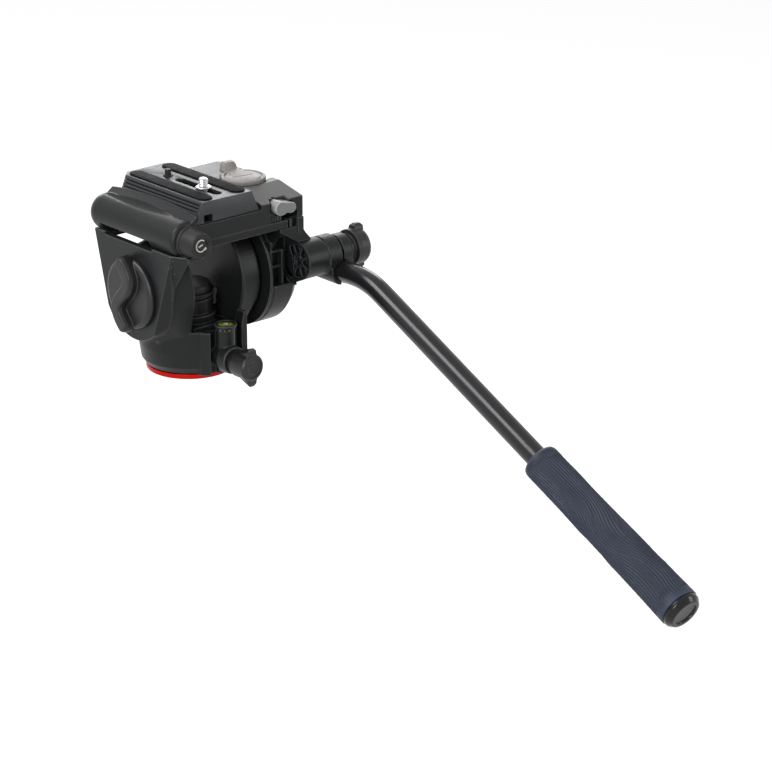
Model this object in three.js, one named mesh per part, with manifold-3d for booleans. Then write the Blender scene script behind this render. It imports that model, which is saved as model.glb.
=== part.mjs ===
// A two-way fluid video head, as an assembly of separate pieces.
//
// Millimetres, +Z up. The origin is the centre of the base's underside, where the head sits on a
// tripod. +Y is forward, the way the lens looks, and +X is the side that carries the pan bar.
// The pan axis is Z. The tilt axis runs along X, and every piece of the tilting yoke is
// measured from it.

import * as THREE from 'three';
import { ConvexGeometry } from 'three/addons/geometries/ConvexGeometry.js';
import { mergeVertices } from 'three/addons/utils/BufferGeometryUtils.js';
import Module from 'manifold-3d';

const wasm = await Module();
wasm.setup();

// Driving dimensions of the whole head
const tiltAxisHeight = 62;
const fit = 0.3;
const runningFit = 0.5;
const overrun = 5;
const wideSides = 40;
const roundSides = 28;
const smallSides = 16;
const coilSteps = 6;
const coilSides = 3;

// Tripod base
const baseRadius = 30;
const baseRingHeight = 3.5;
const baseChamfer = 0.6;
const tripodThreadRadius = 4.76;
const insertRadius = 8;
const insertHeight = 12;
const panFlangeRadius = 24;
const panFlangeThickness = 4;
const panShaftCollarRadius = 11.5;
const panShaftCollarTop = 14.5;
const panShaftRadius = 7;
const baseScrewCount = 3;
const baseScrewCircle = 17;
const baseScrewRadius = 1.5;
const baseScrewHeadRadius = 3;
const baseScrewHeadHeight = 1.8;
const baseScrewLength = 6;
const rotorRadius = 24.4;
const rotorThickness = 2.4;

// Pan housing
const bucketRadius = 34.5;
const bucketLowRadius = 33;
const bucketLowHeight = 8.5;
const bucketFullHeight = 19;
const bucketTop = 34.5;
const bucketRimRound = 1.2;
const bucketBore = 25.5;
const bucketBoreTop = 21.5;
const bearingRadius = 13;
const bearingTop = 28;
const cheekInnerLeft = 19;
const cheekOuterLeft = 37;
const cheekRadiusLeft = 30.3;
const cheekInnerRadiusLeft = 33;
const cheekInnerRight = 20;
const cheekOuterRight = 35;
const cheekRadiusRight = 34.2;
const cheekWebHalfWidth = 24;
const cheekWebFoot = 24;
const cheekRound = 1.2;
const cheekWall = 3;
const turretRadius = 16.5;
const turretFlangeRadius = 18.5;
const turretFlangeTop = 39.7;
const turretBoreRadius = 11;
const turretCapBandHeight = 1.2;
const turretCapBandInset = 0.9;
const turretCapDrop = 2.7;
const turretCapTop = tiltAxisHeight - turretCapDrop;
const turretCapHeight = 9.3;
const turretTop = turretCapTop - turretCapHeight;
const turretCapWall = 2.4;
const turretCapRound = 2.2;
const cartridgeThickness = 2;

// Rear lobe of the pan housing, with the level and the pan lock
const lobeFlank = 15;
const lobeLeft = 10.6;
const lobeCorner = 0.8;
const lobeRear = 36;
const pillarLeft = 12.5;
const pillarRight = 17.4;
const pillarRear = 41;
const pillarShoulder = 35.8;
const pillarTop = 45.2;
const pillarLean = 2.3;
const pillarDepth = 8;
const bubbleBossRadius = 6.2;
const bubbleRimRadius = 7.8;
const bubbleRimHeight = 4.2;
const bubbleBossRear = 39.5;
const bubbleBossTop = 40;
const vialRadius = 6.1;
const vialHeight = 3.6;
const vialRecess = 1;
const lockBossRadius = 10;
const lockBossTipRadius = 9.4;
const lockBossRootRadius = 7.6;
const lockBossRootRear = 38;
const lockBossHeight = 16;
const lockBossRear = 49;
const lockBossFlareRear = 42;
const notchWidth = 6.7;
const notchDepth = 3.5;
const lockScrewRadius = 3;
const lockPadLength = 5;
const lockPadRadius = 4.4;

// Pan lock knob
const panKnobNeckRadius = 7.6;
const panKnobTipRadius = 9.2;
const panKnobLength = 19.5;
const panKnobChamfer = 1.4;
const panKnobWingReach = 13.6;
const panKnobWingThickness = 10;
const panKnobWingTipThickness = 7;
const panKnobWingLean = 0.7;
const panKnobBodyStart = 5;

// Pan drag selector on the turret
const selectorRingHeight = 2.3;
const selectorRingWall = 2.2;
const selectorRingDrop = 7.1;
const selectorRingBottom = turretCapTop - selectorRingDrop;
const selectorTabReach = 3;
const selectorTabDrop = 7.2;
const selectorTabRise = 2;
const selectorTabAngle = THREE.MathUtils.degToRad(48);
const selectorTabWidth = 4;

// Tilting yoke, measured from the tilt axis
const slabBottom = 35.2;
const slabTop = 41;
const slabRight = 63.8;
const slabRear = 44.5;
const slabFront = 44;
const legInner = 37.5;
const legOuter = 46;
const legInnerRadius = 33.5;
const legInnerDrop = 2;
const legOuterRadius = 33.2;
const legTop = 35;
const legFrontTop = 42;
const legRearTop = 42;
const legRearTopInner = 54;
const legNeckRear = 40;
const legFlareFootRear = 36.5;
const legFlareDrop = 24.6;
const legFlareFront = 20;
const legArcStartShare = 1.28;
const legArcSweepShare = 0.56;
const legRearEdgeShares = [[0.66, 0.72], [0.5, 0]];
const notchTop = 33;
const notchRear = 21;
const notchFront = 31;
const gussetInner = 21;
const gussetWall = 2.3;
const gussetStart = 34;
const tiltShaftRadius = 8;
const tiltShaftEndLeft = cheekInnerLeft + cheekWall + fit;
const tiltShaftEndRight = cheekInnerRight + cheekWall + fit;
const tiltBushRadius = 10.5;
const bushFlangeRadius = 13;
const bushFlangeThickness = 1.6;
const lockBoltRadius = 3;

// Tilt lock knob on the left leg
const tiltKnobRadius = 24.5;
const tiltKnobEdgeHeight = 2.6;
const tiltKnobDiscHeight = 4.6;
const tiltKnobWingHeight = 11.3;
const tiltKnobWingHalfWidth = 5.2;
const tiltKnobWingCrest = 3.6;
const tiltKnobWingSway = 6.5;
const tiltKnobWingReach = 21.5;
const tiltKnobWingSteps = 7;

// Right drum with the counterbalance
const drumInner = 38;
const drumShoulder = 58;
const drumOuter = 63.5;
const drumRadius = 41;
const drumFaceRadius = 37;
const drumHollowRadius = 28.5;
const drumFloor = 57;
const drumBossLength = 3;
const drumBossRadius = 13;
const drumShaftSeat = 61;
const springCoilRadius = 18;
const springWireRadius = 1.6;
const springPitch = 3.7;
const springTurns = 4;
const dragCanInnerRadius = 22;
const dragCanStart = 40;
const dragCanEnd = 55;

// Arm of the pan bar
const armRear = 44;
const armHeight = 10;
const armRadius = 13.3;
const armFace = 58.7;
const armEnd = 76;
const armBoreRadius = 3.4;
const hubRimWidth = 2.2;
const hubCoreRadius = 5.2;
const hubPocketDepth = 3.2;
const hubSpokes = 8;
const hubSpokeWidth = 2;
const bracketRoot = 24;
const bracketTop = 27;
const bracketBottom = 14;
const recessInner = 41;
const recessInnerRear = 36.5;
const recessOuterRear = 30;
const hubRecessTop = 25;
const hubRecessBottom = 5.5;
const hubRibThickness = 1.8;
const hubRibRear = 37;
const hubRibReach = 8;
const hubRibHeights = [17, 6.5];
const hubUprightX = 50;
const lugLeft = 43.8;
const lugLeftDrop = 2.1;
const lugFootRise = 0.5;
const lugDepth = 7;
const lugBottom = 12;
const lugFlareWidth = 7;
const lugFlareShares = [[0, 1], [0.09, 0.72], [0.26, 0.53], [0.53, 0.35], [0.79, 0.18], [1, 0]];

// Pan bar clamp
const clampInnerLength = 12.7;
const clampOuterLength = 9.6;
const clampSplit = armEnd + fit + clampInnerLength;
const clampGap = 2.4;
const clampOuterEnd = clampSplit + clampOuterLength;
const clampOuterRadius = 11.8;
const socketRadius = 9.6;
const socketRear = 12;
const socketFront = 10;
const neckShare = 0.86;
const barRadius = 7.4;
const barWall = 1.6;
const barDrop = 10.6;
const barStart = 8;
const barStraight = 25;
const barBendRadius = 62;
const barBendAngle = THREE.MathUtils.degToRad(25.3);
const barBendSteps = 6;
const barRunToGrip = 171;
const boltRadius = 2.5;
const boltReach = 9;
const boltStart = armEnd - boltReach;

// Grip on the pan bar
const gripLength = 141;
const gripStartRadius = 12.6;
const gripEndRadius = 13.9;
const gripNoseLength = 4;
const gripNoseRadius = 11.2;
const gripEndWall = 15;
const gripOverlap = gripLength - gripEndWall;
const gripCapLength = 7;
const gripCapRadius = 13.3;
const gripCapFaceRadius = 10.6;
const gripCapPlugRadius = 6.8;
const gripCapPlugLength = 8;

// Pan bar clamp knob
const barKnobRadius = 12.6;
const barKnobCoreRadius = 9.4;
const barKnobLength = 16;
const barKnobWingReach = 14.5;
const barKnobWingStart = 6.5;
const barKnobWingLean = 1.9;
const barKnobWingThickness = 6;
const barKnobWingTip = 4.4;
const barKnobCollar = 3.4;

// Quick release receiver on the slab
const receiverTop = 52.4;
const receiverRear = 45;
const receiverFront = 47;
const tubeFront = 52;
const tubeAxisX = 34;
const tubeAxisHeight = 44;
const tubeRadius = 12.8;
const tubeRearChamfer = 2.2;
const tubeEndRound = 11;
const tubeRoundSteps = 5;
const tubeBoreRadius = 4.6;
const tubeSlotRear = 18;
const tubeSlotFront = 36;
const tubeSlotTop = 39.5;
const scoopHalfWidth = 5;
const scoopHalfLength = 42;
const scoopDepth = 5.5;
const scoopAxisHeight = 59;
const scoopAxisX = 34.5;
const scoopForward = 9;
const railPeakHeight = 8.6;
const railOuterHeight = 4.8;
const railOuterX = 30.6;
const railShares = [0.72, 0.95, 1, 0.97, 0.72];
const housingLeft = 28;
const housingRight = 64;
const housingTopRear = 55.4;
const housingCrown = 60.8;
const housingCrownRear = 20;
const housingTopFront = 58.6;
const housingCorner = 2;
const jawHalfLength = 21;
const jawOuter = 35.5;
const jawHeight = 3.2;
const jawTravel = 1.5;

// Drag selector at the rear end of the tube
const collarRadius = 10.5;
const collarLength = 2.2;
const selectorCapRadius = 9.9;
const selectorCapFaceRadius = 8.4;
const selectorCapLength = 12.4;
const selectorCapDish = 0.8;
const selectorCapDishRadius = 6;
const selectorRodRadius = 4;
const selectorRodLength = 60;

// Lock lever
const leverX = 46;
const leverRear = 3;
const leverRadius = 15.2;
const leverThickness = 6;
const leverSeatRise = 4.5;
const leverPocketFlare = 0.6;
const leverNotchInset = 2;
const leverNotchRear = 7.5;
const leverNotchFront = 14;
const leverNotchLean = 5.3;
const leverRingRadius = 12.8;
const leverRingWidth = 0.9;
const leverRingDepth = 0.5;
const leverArmAngle = THREE.MathUtils.degToRad(8);
const leverArmLength = 23;
const leverArmRootWidth = 15;
const leverArmTipWidth = 10.5;
const leverArmThickness = 2.4;
const leverTabTop = 10.6;
const leverTabThickness = 4;
const leverPinRadius = 3;
const leverPinLength = 7;

// Release button
const buttonX = 46.1;
const buttonHeightCentre = 51;
const buttonHalfLength = 8.7;
const buttonRadius = 4.8;
const buttonNarrowRadius = 3.6;
const buttonNarrowDrop = 0.8;
const buttonProud = 3.2;
const buttonDepth = 9;
const recessLeft = 46;
const recessRight = 58.4;
const recessDepth = 11;
const recessTop = 46.2;
const patchLeft = 35.8;
const patchDepth = 1.5;
const hollowLeft = 35;
const hollowFloorLeft = 38.5;
const hollowRight = 50.6;
const hollowDepth = 4.5;
const hollowBottom = 48;
const slabGrooveShares = [[0.07, 0.14], [0.38, 0.5], [0.66, 0.98]];
const recessRibs = 2;
const recessRibWidth = 1.2;
const recessRibSpread = 6.4;
const springButtonRadius = 2.2;
const springButtonWire = 0.45;
const springButtonPitch = 1.25;
const springButtonTurns = 4;

// Camera plate
const plateRear = 44;
const plateFront = 45;
const plateTopHalf = 20.3;
const plateBottomHalf = 26.4;
const plateTop = 67;
const plateRoundFront = 5;
const plateGrooveHeight = 2.6;
const plateGrooveTopOffset = 2;
const plateGrooveDepth = 1.5;
const padWidth = 10.2;
const padLength = 83;
const padThickness = 1.1;
const padRecess = 0.5;
const padLeftX = 13.3;
const padRightX = 14;
const slotWidth = 7;
const slotRear = 36;
const slotFront = 10;
const slotStep = 3;
const slotStepWidth = 13;
const screwRear = 18.5;
const screwThreadRadius = 3.175;
const screwHeadRadius = 5.4;
const screwHeadHeight = 3;
const screwProud = 7;
const carriageLength = 18;
const carriageThickness = 1.6;
const pinForward = 20;
const pinRadius = 2.1;
const pinProud = 4.6;
const pinFootRadius = 3.6;
const pinFootHeight = 1.2;
const squareHoleX = 16.2;
const squareHoleWidth = 7;
const squareHoleHeight = 5;
const squareHoleDepth = 8;
const squareHoleLift = 0.4;
const pinSpringPitch = 1.2;
const pinSpringTurns = 4;
const pinSpringWire = 0.4;

// Fasteners that hold the receiver and the drum to the slab
const yokeScrewRadius = 2;
const yokeScrewHeadRadius = 3.6;
const yokeScrewHeadHeight = 2.4;
const receiverScrewLength = 10;
const drumScrewLength = 14;
const receiverScrewX = [-12, 12, 12];
const receiverScrewY = [0, 32, -32];
const drumScrewX = 46;
const drumScrewY = [-12, 12];

// Solids and their booleans

function toSolid(geometry) {
  const bare = geometry.clone();
  bare.deleteAttribute('normal');
  bare.deleteAttribute('uv');
  const merged = mergeVertices(bare);
  const corners = merged.getAttribute('position').array;
  const index = merged.index.array;
  const kept = [];
  for (let i = 0; i < index.length; i += 3) {
    const [a, b, c] = [index[i], index[i + 1], index[i + 2]];
    if (a !== b && b !== c && c !== a) kept.push(a, b, c);
  }
  if (signedVolume(corners, kept) < 0) kept.reverse();
  return new wasm.Manifold(new wasm.Mesh({
    numProp: 3,
    vertProperties: new Float32Array(corners),
    triVerts: new Uint32Array(kept),
  }));
}

function signedVolume(corners, index) {
  const [a, b, c] = [new THREE.Vector3(), new THREE.Vector3(), new THREE.Vector3()];
  let sum = 0;
  for (let i = 0; i < index.length; i += 3) {
    a.fromArray(corners, index[i] * 3);
    b.fromArray(corners, index[i + 1] * 3);
    c.fromArray(corners, index[i + 2] * 3);
    sum += a.dot(b.cross(c));
  }
  return sum;
}

function join(first, ...others) {
  return others.reduce((sum, other) => sum.add(other), first);
}

function cut(first, ...tools) {
  return tools.reduce((rest, tool) => rest.subtract(tool), first);
}

function toGeometry(solid) {
  const mesh = solid.getMesh();
  const geometry = new THREE.BufferGeometry();
  geometry.setAttribute('position', new THREE.BufferAttribute(mesh.vertProperties, 3));
  geometry.setIndex(new THREE.BufferAttribute(mesh.triVerts, 1));
  const faceted = geometry.toNonIndexed();
  faceted.computeVertexNormals();
  return faceted;
}

// Shapes, each laid along a named axis

function alongAxis(geometry, axis) {
  if (axis === 'x') geometry.rotateZ(-Math.PI / 2);
  if (axis === 'z') geometry.rotateX(Math.PI / 2);
  return geometry;
}

function moved(geometry, [x, y, z]) {
  geometry.translate(x, y, z);
  return geometry;
}

// A body of revolution from [radius, position along the axis] points
function lathe(profile, axis, centre = [0, 0, 0], sides = roundSides) {
  const points = profile.map(([radius, along]) => new THREE.Vector2(radius, along));
  return toSolid(moved(alongAxis(new THREE.LatheGeometry(points, sides), axis), centre));
}

function rod(radius, from, to, axis, centre = [0, 0, 0], sides = smallSides) {
  return lathe([[0, from], [radius, from], [radius, to], [0, to]], axis, centre, sides);
}

function tubeRing(outer, inner, from, to, axis, centre = [0, 0, 0], sides = smallSides) {
  const profile = [[inner, from], [outer, from], [outer, to], [inner, to], [inner, from]];
  return lathe(profile, axis, centre, sides);
}

function block([x0, x1], [y0, y1], [z0, z1]) {
  const box = new THREE.BoxGeometry(x1 - x0, y1 - y0, z1 - z0);
  return toSolid(moved(box, [(x0 + x1) / 2, (y0 + y1) / 2, (z0 + z1) / 2]));
}

function hull(points) {
  return toSolid(new ConvexGeometry(points.map((point) => new THREE.Vector3(...point))));
}

// An outline drawn in X and Y, raised from one height to another
function raised(outline, from, to) {
  const shape = outline instanceof THREE.Shape ? outline : polygon(outline);
  const settings = { depth: to - from, bevelEnabled: false, curveSegments: smallSides / 4 };
  return toSolid(moved(new THREE.ExtrudeGeometry(shape, settings), [0, 0, from]));
}

function polygon(points) {
  return new THREE.Shape(points.map(([x, y]) => new THREE.Vector2(x, y)));
}

// A strip with two round ends, its long axis along Y
function stadium(x, from, to, width) {
  const shape = new THREE.Shape();
  const radius = width / 2;
  shape.absarc(x, to - radius, radius, 0, Math.PI);
  shape.absarc(x, from + radius, radius, Math.PI, Math.PI * 2);
  return shape;
}

// Points of a circle that faces X, at one distance along it
function ringFacingX(radius, x, y, z, steps = smallSides, start = 0, sweep = Math.PI * 2) {
  const points = [];
  for (let i = 0; i <= steps; i += 1) {
    const angle = start + (sweep * i) / steps;
    points.push([x, y + radius * Math.cos(angle), z + radius * Math.sin(angle)]);
  }
  return points;
}

// A coil spring around an axis, its ends cut square
function coil(radius, wire, pitch, turns, from, axis, centre = [0, 0, 0]) {
  class Helix extends THREE.Curve {
    getPoint(t, target = new THREE.Vector3()) {
      const angle = t * turns * Math.PI * 2;
      return target.set(radius * Math.cos(angle), from + t * turns * pitch, radius * Math.sin(angle));
    }
  }
  const section = new THREE.Shape();
  section.absarc(0, 0, wire, 0, Math.PI * 2);
  const settings = {
    steps: turns * coilSteps,
    extrudePath: new Helix(),
    bevelEnabled: false,
    curveSegments: coilSides,
  };
  return toSolid(moved(alongAxis(new THREE.ExtrudeGeometry(section, settings), axis), centre));
}

// Finishes, as the pieces look from outside
function finish(colour, roughness, metalness) {
  return new THREE.MeshStandardMaterial({ color: colour, roughness, metalness });
}

const castBlack = finish(0x38393a, 0.5, 0.2);
const mouldedBlack = finish(0x2c2c2e, 0.55, 0);
const knobBlack = finish(0x262628, 0.45, 0);
const anodisedRed = finish(0xb01a12, 0.35, 0.7);
const anodisedBlack = finish(0x1c1c1e, 0.25, 0.8);
const plateGrey = finish(0x3c3c3e, 0.4, 0.5);
const padRubber = finish(0x232325, 0.85, 0);
const gripRubber = finish(0x343843, 0.6, 0);
const gripCapBlack = finish(0x151517, 0.2, 0);
const leverGrey = finish(0x8d8884, 0.55, 0.1);
const buttonGrey = finish(0x8a8a8a, 0.5, 0);
const steel = finish(0xb8b8ba, 0.3, 1);
const brass = finish(0xb08d3c, 0.35, 1);
const polymer = finish(0xd8d4c4, 0.6, 0);
const levelLiquid = finish(0xb4d21a, 0.15, 0);

// Groups: the tripod side, the pan side, the yoke and what it carries
const head = new THREE.Group();
const panBody = new THREE.Group();
const yoke = new THREE.Group();
const plate = new THREE.Group();
const panBar = new THREE.Group();
const barStraightRun = new THREE.Group();
yoke.position.set(0, 0, tiltAxisHeight);
panBar.position.set(clampSplit, -armRear, armHeight);
head.add(panBody);
panBody.add(yoke);
yoke.add(plate, panBar);
panBar.add(barStraightRun);

function addPiece(group, name, solid, material) {
  const mesh = new THREE.Mesh(toGeometry(solid), material);
  mesh.name = name;
  group.add(mesh);
  return mesh;
}

// Tripod base: the red ring, the thread insert and the pan shaft that stand still
function screwAround(index, count, circle) {
  const angle = (Math.PI * 2 * index) / count + Math.PI / 6;
  return [circle * Math.cos(angle), circle * Math.sin(angle), 0];
}

function buildTripodBase() {
  const seat = baseRingHeight + fit;
  let ring = lathe([
    [insertRadius + fit, 0],
    [baseRadius - baseChamfer, 0],
    [baseRadius, baseChamfer],
    [baseRadius, baseRingHeight],
    [insertRadius + fit, baseRingHeight],
    [insertRadius + fit, 0],
  ], 'z', [0, 0, 0], wideSides);
  let shaft = lathe([
    [insertRadius + fit, seat],
    [panFlangeRadius, seat],
    [panFlangeRadius, seat + panFlangeThickness],
    [panShaftCollarRadius, seat + panFlangeThickness],
    [panShaftCollarRadius, panShaftCollarTop],
    [panShaftRadius, panShaftCollarTop],
    [panShaftRadius, turretTop - runningFit],
    [0, turretTop - runningFit],
    [0, insertHeight + fit],
    [insertRadius + fit, insertHeight + fit],
    [insertRadius + fit, seat],
  ], 'z');
  const insert = lathe([
    [tripodThreadRadius, fit],
    [insertRadius, fit],
    [insertRadius, insertHeight],
    [0, insertHeight],
    [0, insertHeight - baseScrewHeadHeight],
    [tripodThreadRadius, insertHeight - baseScrewHeadHeight],
    [tripodThreadRadius, fit],
  ], 'z');
  for (let i = 0; i < baseScrewCount; i += 1) {
    const centre = screwAround(i, baseScrewCount, baseScrewCircle);
    const headTop = fit + baseScrewHeadHeight;
    const sinkRadius = baseScrewHeadRadius + fit;
    const holeRadius = baseScrewRadius + fit;
    ring = cut(ring, rod(sinkRadius, -overrun, headTop + fit, 'z', centre));
    ring = cut(ring, rod(holeRadius, 0, seat + overrun, 'z', centre));
    shaft = cut(shaft, rod(holeRadius, 0, fit + baseScrewLength + fit, 'z', centre));
    const screw = lathe([
      [0, fit],
      [baseScrewHeadRadius, fit],
      [baseScrewHeadRadius, headTop],
      [baseScrewRadius, headTop],
      [baseScrewRadius, fit + baseScrewLength],
      [0, fit + baseScrewLength],
    ], 'z', centre, smallSides / 2);
    addPiece(head, `base_screw_${i + 1}`, screw, steel);
  }
  const rotorBottom = panShaftCollarTop + fit;
  const rotor = tubeRing(rotorRadius, panShaftRadius + fit, rotorBottom, rotorBottom + rotorThickness,
    'z', [0, 0, 0], roundSides);
  addPiece(head, 'base_ring', ring, anodisedRed);
  addPiece(head, 'tripod_thread_insert', insert, steel);
  addPiece(head, 'pan_shaft', shaft, steel);
  addPiece(head, 'pan_drag_rotor', rotor, steel);
}

// Pan housing: one casting of bucket, cheeks, rear lobe, level boss and lock boss
function cheek(side, inner, outer, innerRadius, outerRadius) {
  const points = [];
  for (const [distance, radius] of [
    [inner, innerRadius - cheekRound],
    [inner + cheekRound, innerRadius],
    [outer - cheekRound, outerRadius],
    [outer, outerRadius - cheekRound],
  ]) {
    points.push(...ringFacingX(radius, side * distance, 0, tiltAxisHeight, roundSides));
  }
  const footReach = Math.min(outer, bucketRadius - cheekRound);
  const footHalf = Math.sqrt(bucketRadius ** 2 - footReach ** 2);
  for (const y of [-1, 1]) {
    points.push([side * inner, y * cheekWebHalfWidth, cheekWebFoot]);
    points.push([side * footReach, y * footHalf, cheekWebFoot]);
    points.push([side * outer, y * cheekWebHalfWidth / 2, bucketTop]);
  }
  return hull(points);
}

function panHousing() {
  const seat = baseRingHeight + fit;
  const bucket = lathe([
    [bucketBore, seat],
    [baseRadius - fit, seat],
    [bucketLowRadius, bucketLowHeight],
    [bucketRadius, bucketFullHeight],
    [bucketRadius, bucketTop - bucketRimRound],
    [bucketRadius - bucketRimRound, bucketTop],
    [turretFlangeRadius, bucketTop],
    [turretFlangeRadius, turretFlangeTop],
    [turretRadius, turretFlangeTop],
    [turretRadius, turretTop],
    [turretBoreRadius, turretTop],
    [turretBoreRadius, bearingTop + fit],
    [bearingRadius + fit, bearingTop + fit],
    [bearingRadius + fit, bucketBoreTop],
    [bucketBore, bucketBoreTop],
    [bucketBore, seat],
  ], 'z', [0, 0, 0], wideSides);
  const flankRear = Math.sqrt(bucketRadius ** 2 - lobeFlank ** 2);
  const lobe = raised([
    [-lobeFlank, -turretRadius],
    [-lobeFlank, -flankRear],
    [-lobeLeft, -lobeRear],
    [pillarLeft, -lobeRear],
    [pillarLeft, -pillarRear],
    [pillarRight, -pillarRear],
    [pillarRight + notchDepth, -bucketBore],
    [pillarRight, -turretRadius],
  ], seat, bucketTop - bucketRimRound);
  const notch = block([-lobeLeft + lobeCorner, -lobeLeft + lobeCorner + notchWidth],
    [-lobeRear - overrun, -lobeRear + notchDepth], [0, bucketTop + overrun]);
  const pillar = hull([-pillarRear, -pillarRear + pillarDepth].flatMap((y) => [
    [pillarLeft, y, pillarShoulder - overrun],
    [pillarLeft, y, pillarShoulder],
    [pillarLeft + pillarLean, y, pillarTop],
    [pillarRight, y, pillarTop],
    [pillarRight, y, pillarShoulder - overrun],
  ]));
  const rimFoot = bubbleBossTop - bubbleRimHeight;
  const rimFlare = bubbleRimRadius - bubbleBossRadius;
  const level = lathe([
    [0, lockBossHeight],
    [bubbleBossRadius, lockBossHeight],
    [bubbleBossRadius, rimFoot - rimFlare],
    [bubbleRimRadius, rimFoot],
    [bubbleRimRadius, bubbleBossTop],
    [0, bubbleBossTop],
  ], 'z', [0, -bubbleBossRear, 0], roundSides);
  const lockBoss = lathe([
    [0, -lockBossRear],
    [lockBossTipRadius, -lockBossRear],
    [lockBossRadius, -lockBossFlareRear],
    [lockBossRootRadius, -lockBossRootRear],
    [lockBossRootRadius, -bucketBore],
    [0, -bucketBore],
  ], 'y', [0, 0, lockBossHeight], roundSides);
  const body = join(cut(join(bucket, lobe), notch), pillar, level, lockBoss,
    cheek(-1, cheekInnerLeft, cheekOuterLeft, cheekInnerRadiusLeft, cheekRadiusLeft),
    cheek(1, cheekInnerRight, cheekOuterRight, cheekRadiusRight, cheekRadiusRight));
  return cut(body,
    rod(bucketBore, 0, bucketBoreTop, 'z', [0, 0, 0], wideSides),
    rod(vialRadius + fit, bubbleBossTop - vialHeight - fit, bubbleBossTop + overrun, 'z',
      [0, -bubbleBossRear, 0]),
    rod(lockPadRadius + fit, -lockBossFlareRear, 0, 'y', [0, 0, lockBossHeight]),
    rod(lockScrewRadius + fit, -lockBossRear - overrun, 0, 'y', [0, 0, lockBossHeight]),
    rod(tiltBushRadius + fit, -cheekOuterLeft - overrun, -cheekInnerLeft - cheekWall, 'x',
      [0, 0, tiltAxisHeight], roundSides),
    rod(tiltBushRadius + fit, cheekInnerRight + cheekWall, cheekOuterRight + overrun, 'x',
      [0, 0, tiltAxisHeight], roundSides));
}

function bush(side, inner, outer) {
  const bore = tiltShaftRadius + fit;
  const flangeStart = outer + fit;
  const flangeEnd = flangeStart + bushFlangeThickness;
  const profile = [
    [bore, side * inner],
    [tiltBushRadius, side * inner],
    [tiltBushRadius, side * flangeStart],
    [bushFlangeRadius, side * flangeStart],
    [bushFlangeRadius, side * flangeEnd],
    [bore, side * flangeEnd],
    [bore, side * inner],
  ];
  return lathe(profile, 'x', [0, 0, tiltAxisHeight]);
}

function plainBush(side, inner, outer) {
  const [from, to] = [side * inner, side * outer].sort((a, b) => a - b);
  return tubeRing(tiltBushRadius, tiltShaftRadius + fit, from, to, 'x', [0, 0, tiltAxisHeight]);
}

function buildPanBody() {
  addPiece(panBody, 'pan_housing', panHousing(), castBlack);

  const capBottom = turretTop + fit;
  const bandTop = capBottom + turretCapBandHeight;
  const capInner = turretRadius - turretCapWall;
  const cap = lathe([
    [capInner, capBottom],
    [turretRadius - turretCapBandInset, capBottom],
    [turretRadius - turretCapBandInset, bandTop],
    [turretRadius, bandTop],
    [turretRadius, selectorRingBottom - fit],
    [turretRadius - turretCapWall / 2, selectorRingBottom - fit],
    [turretRadius - turretCapWall / 2, turretCapTop - turretCapRound],
    [turretRadius - turretCapRound, turretCapTop],
    [0, turretCapTop],
    [0, turretCapTop - turretCapWall],
    [capInner, turretCapTop - turretCapWall],
    [capInner, capBottom],
  ], 'z', [0, 0, 0], roundSides);
  addPiece(panBody, 'pan_turret_cap', cap, mouldedBlack);

  const bearing = tubeRing(bearingRadius, panShaftRadius + fit, bucketBoreTop + fit, bearingTop,
    'z', [0, 0, 0], roundSides);
  addPiece(panBody, 'pan_bearing', bearing, steel);

  const cartridgeTop = bucketBoreTop - fit;
  const cartridge = tubeRing(rotorRadius, panShaftRadius + runningFit,
    cartridgeTop - cartridgeThickness, cartridgeTop, 'z', [0, 0, 0], roundSides);
  addPiece(panBody, 'pan_drag_cartridge', cartridge, polymer);

  const vialTop = bubbleBossTop - vialRecess;
  const vial = rod(vialRadius, bubbleBossTop - vialHeight, vialTop, 'z', [0, -bubbleBossRear, 0]);
  addPiece(panBody, 'bubble_level', vial, levelLiquid);

  addPiece(panBody, 'left_tilt_bush', plainBush(-1, tiltShaftEndLeft, cheekOuterLeft), brass);
  addPiece(panBody, 'right_tilt_bush', bush(1, tiltShaftEndRight, cheekOuterRight), brass);

  const padRear = bucketBore + fit;
  const pad = rod(lockPadRadius, -padRear - lockPadLength, -padRear, 'y', [0, 0, lockBossHeight]);
  addPiece(panBody, 'pan_lock_pad', pad, brass);

  // A thin turning ring with one tab selects the pan drag
  const ringOuter = turretRadius + selectorRingWall / 2;
  const ringInner = turretRadius - turretCapWall / 2 + fit;
  const ringTop = selectorRingBottom + selectorRingHeight;
  const tab = block([turretRadius, turretRadius + selectorTabReach],
    [-selectorTabWidth / 2, selectorTabWidth / 2],
    [selectorRingBottom - selectorTabDrop, ringTop + selectorTabRise]);
  const selectorRing = join(
    tubeRing(ringOuter, ringInner, selectorRingBottom, ringTop, 'z', [0, 0, 0], roundSides), tab);
  const selector = addPiece(panBody, 'pan_drag_selector', selectorRing, mouldedBlack);
  selector.rotation.z = -selectorTabAngle;
}

// Wing knobs share one form: a round body with two wings that taper to their tips
function wingKnob(profile, axis, { reach, startReach, rootHalf, tipHalf, from, to, lean }) {
  const body = lathe(profile, axis, [0, 0, 0], roundSides);
  const points = [];
  for (const side of [-1, 1]) {
    for (const half of [-1, 1]) {
      points.push([half * rootHalf, from, 0], [half * rootHalf, to, 0]);
      points.push([half * tipHalf, from + lean, side * reach]);
      points.push([half * tipHalf, to, side * startReach]);
      points.push([half * tipHalf / 2, from + lean * 2, side * (reach + tipHalf / 2)]);
      points.push([half * tipHalf / 2, to - lean / 2, side * (startReach + tipHalf / 2)]);
    }
  }
  const turned = points.map(([across, along, up]) => (axis === 'y'
    ? [across, along, up] : [along, across, up]));
  return join(body, hull(turned));
}

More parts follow.
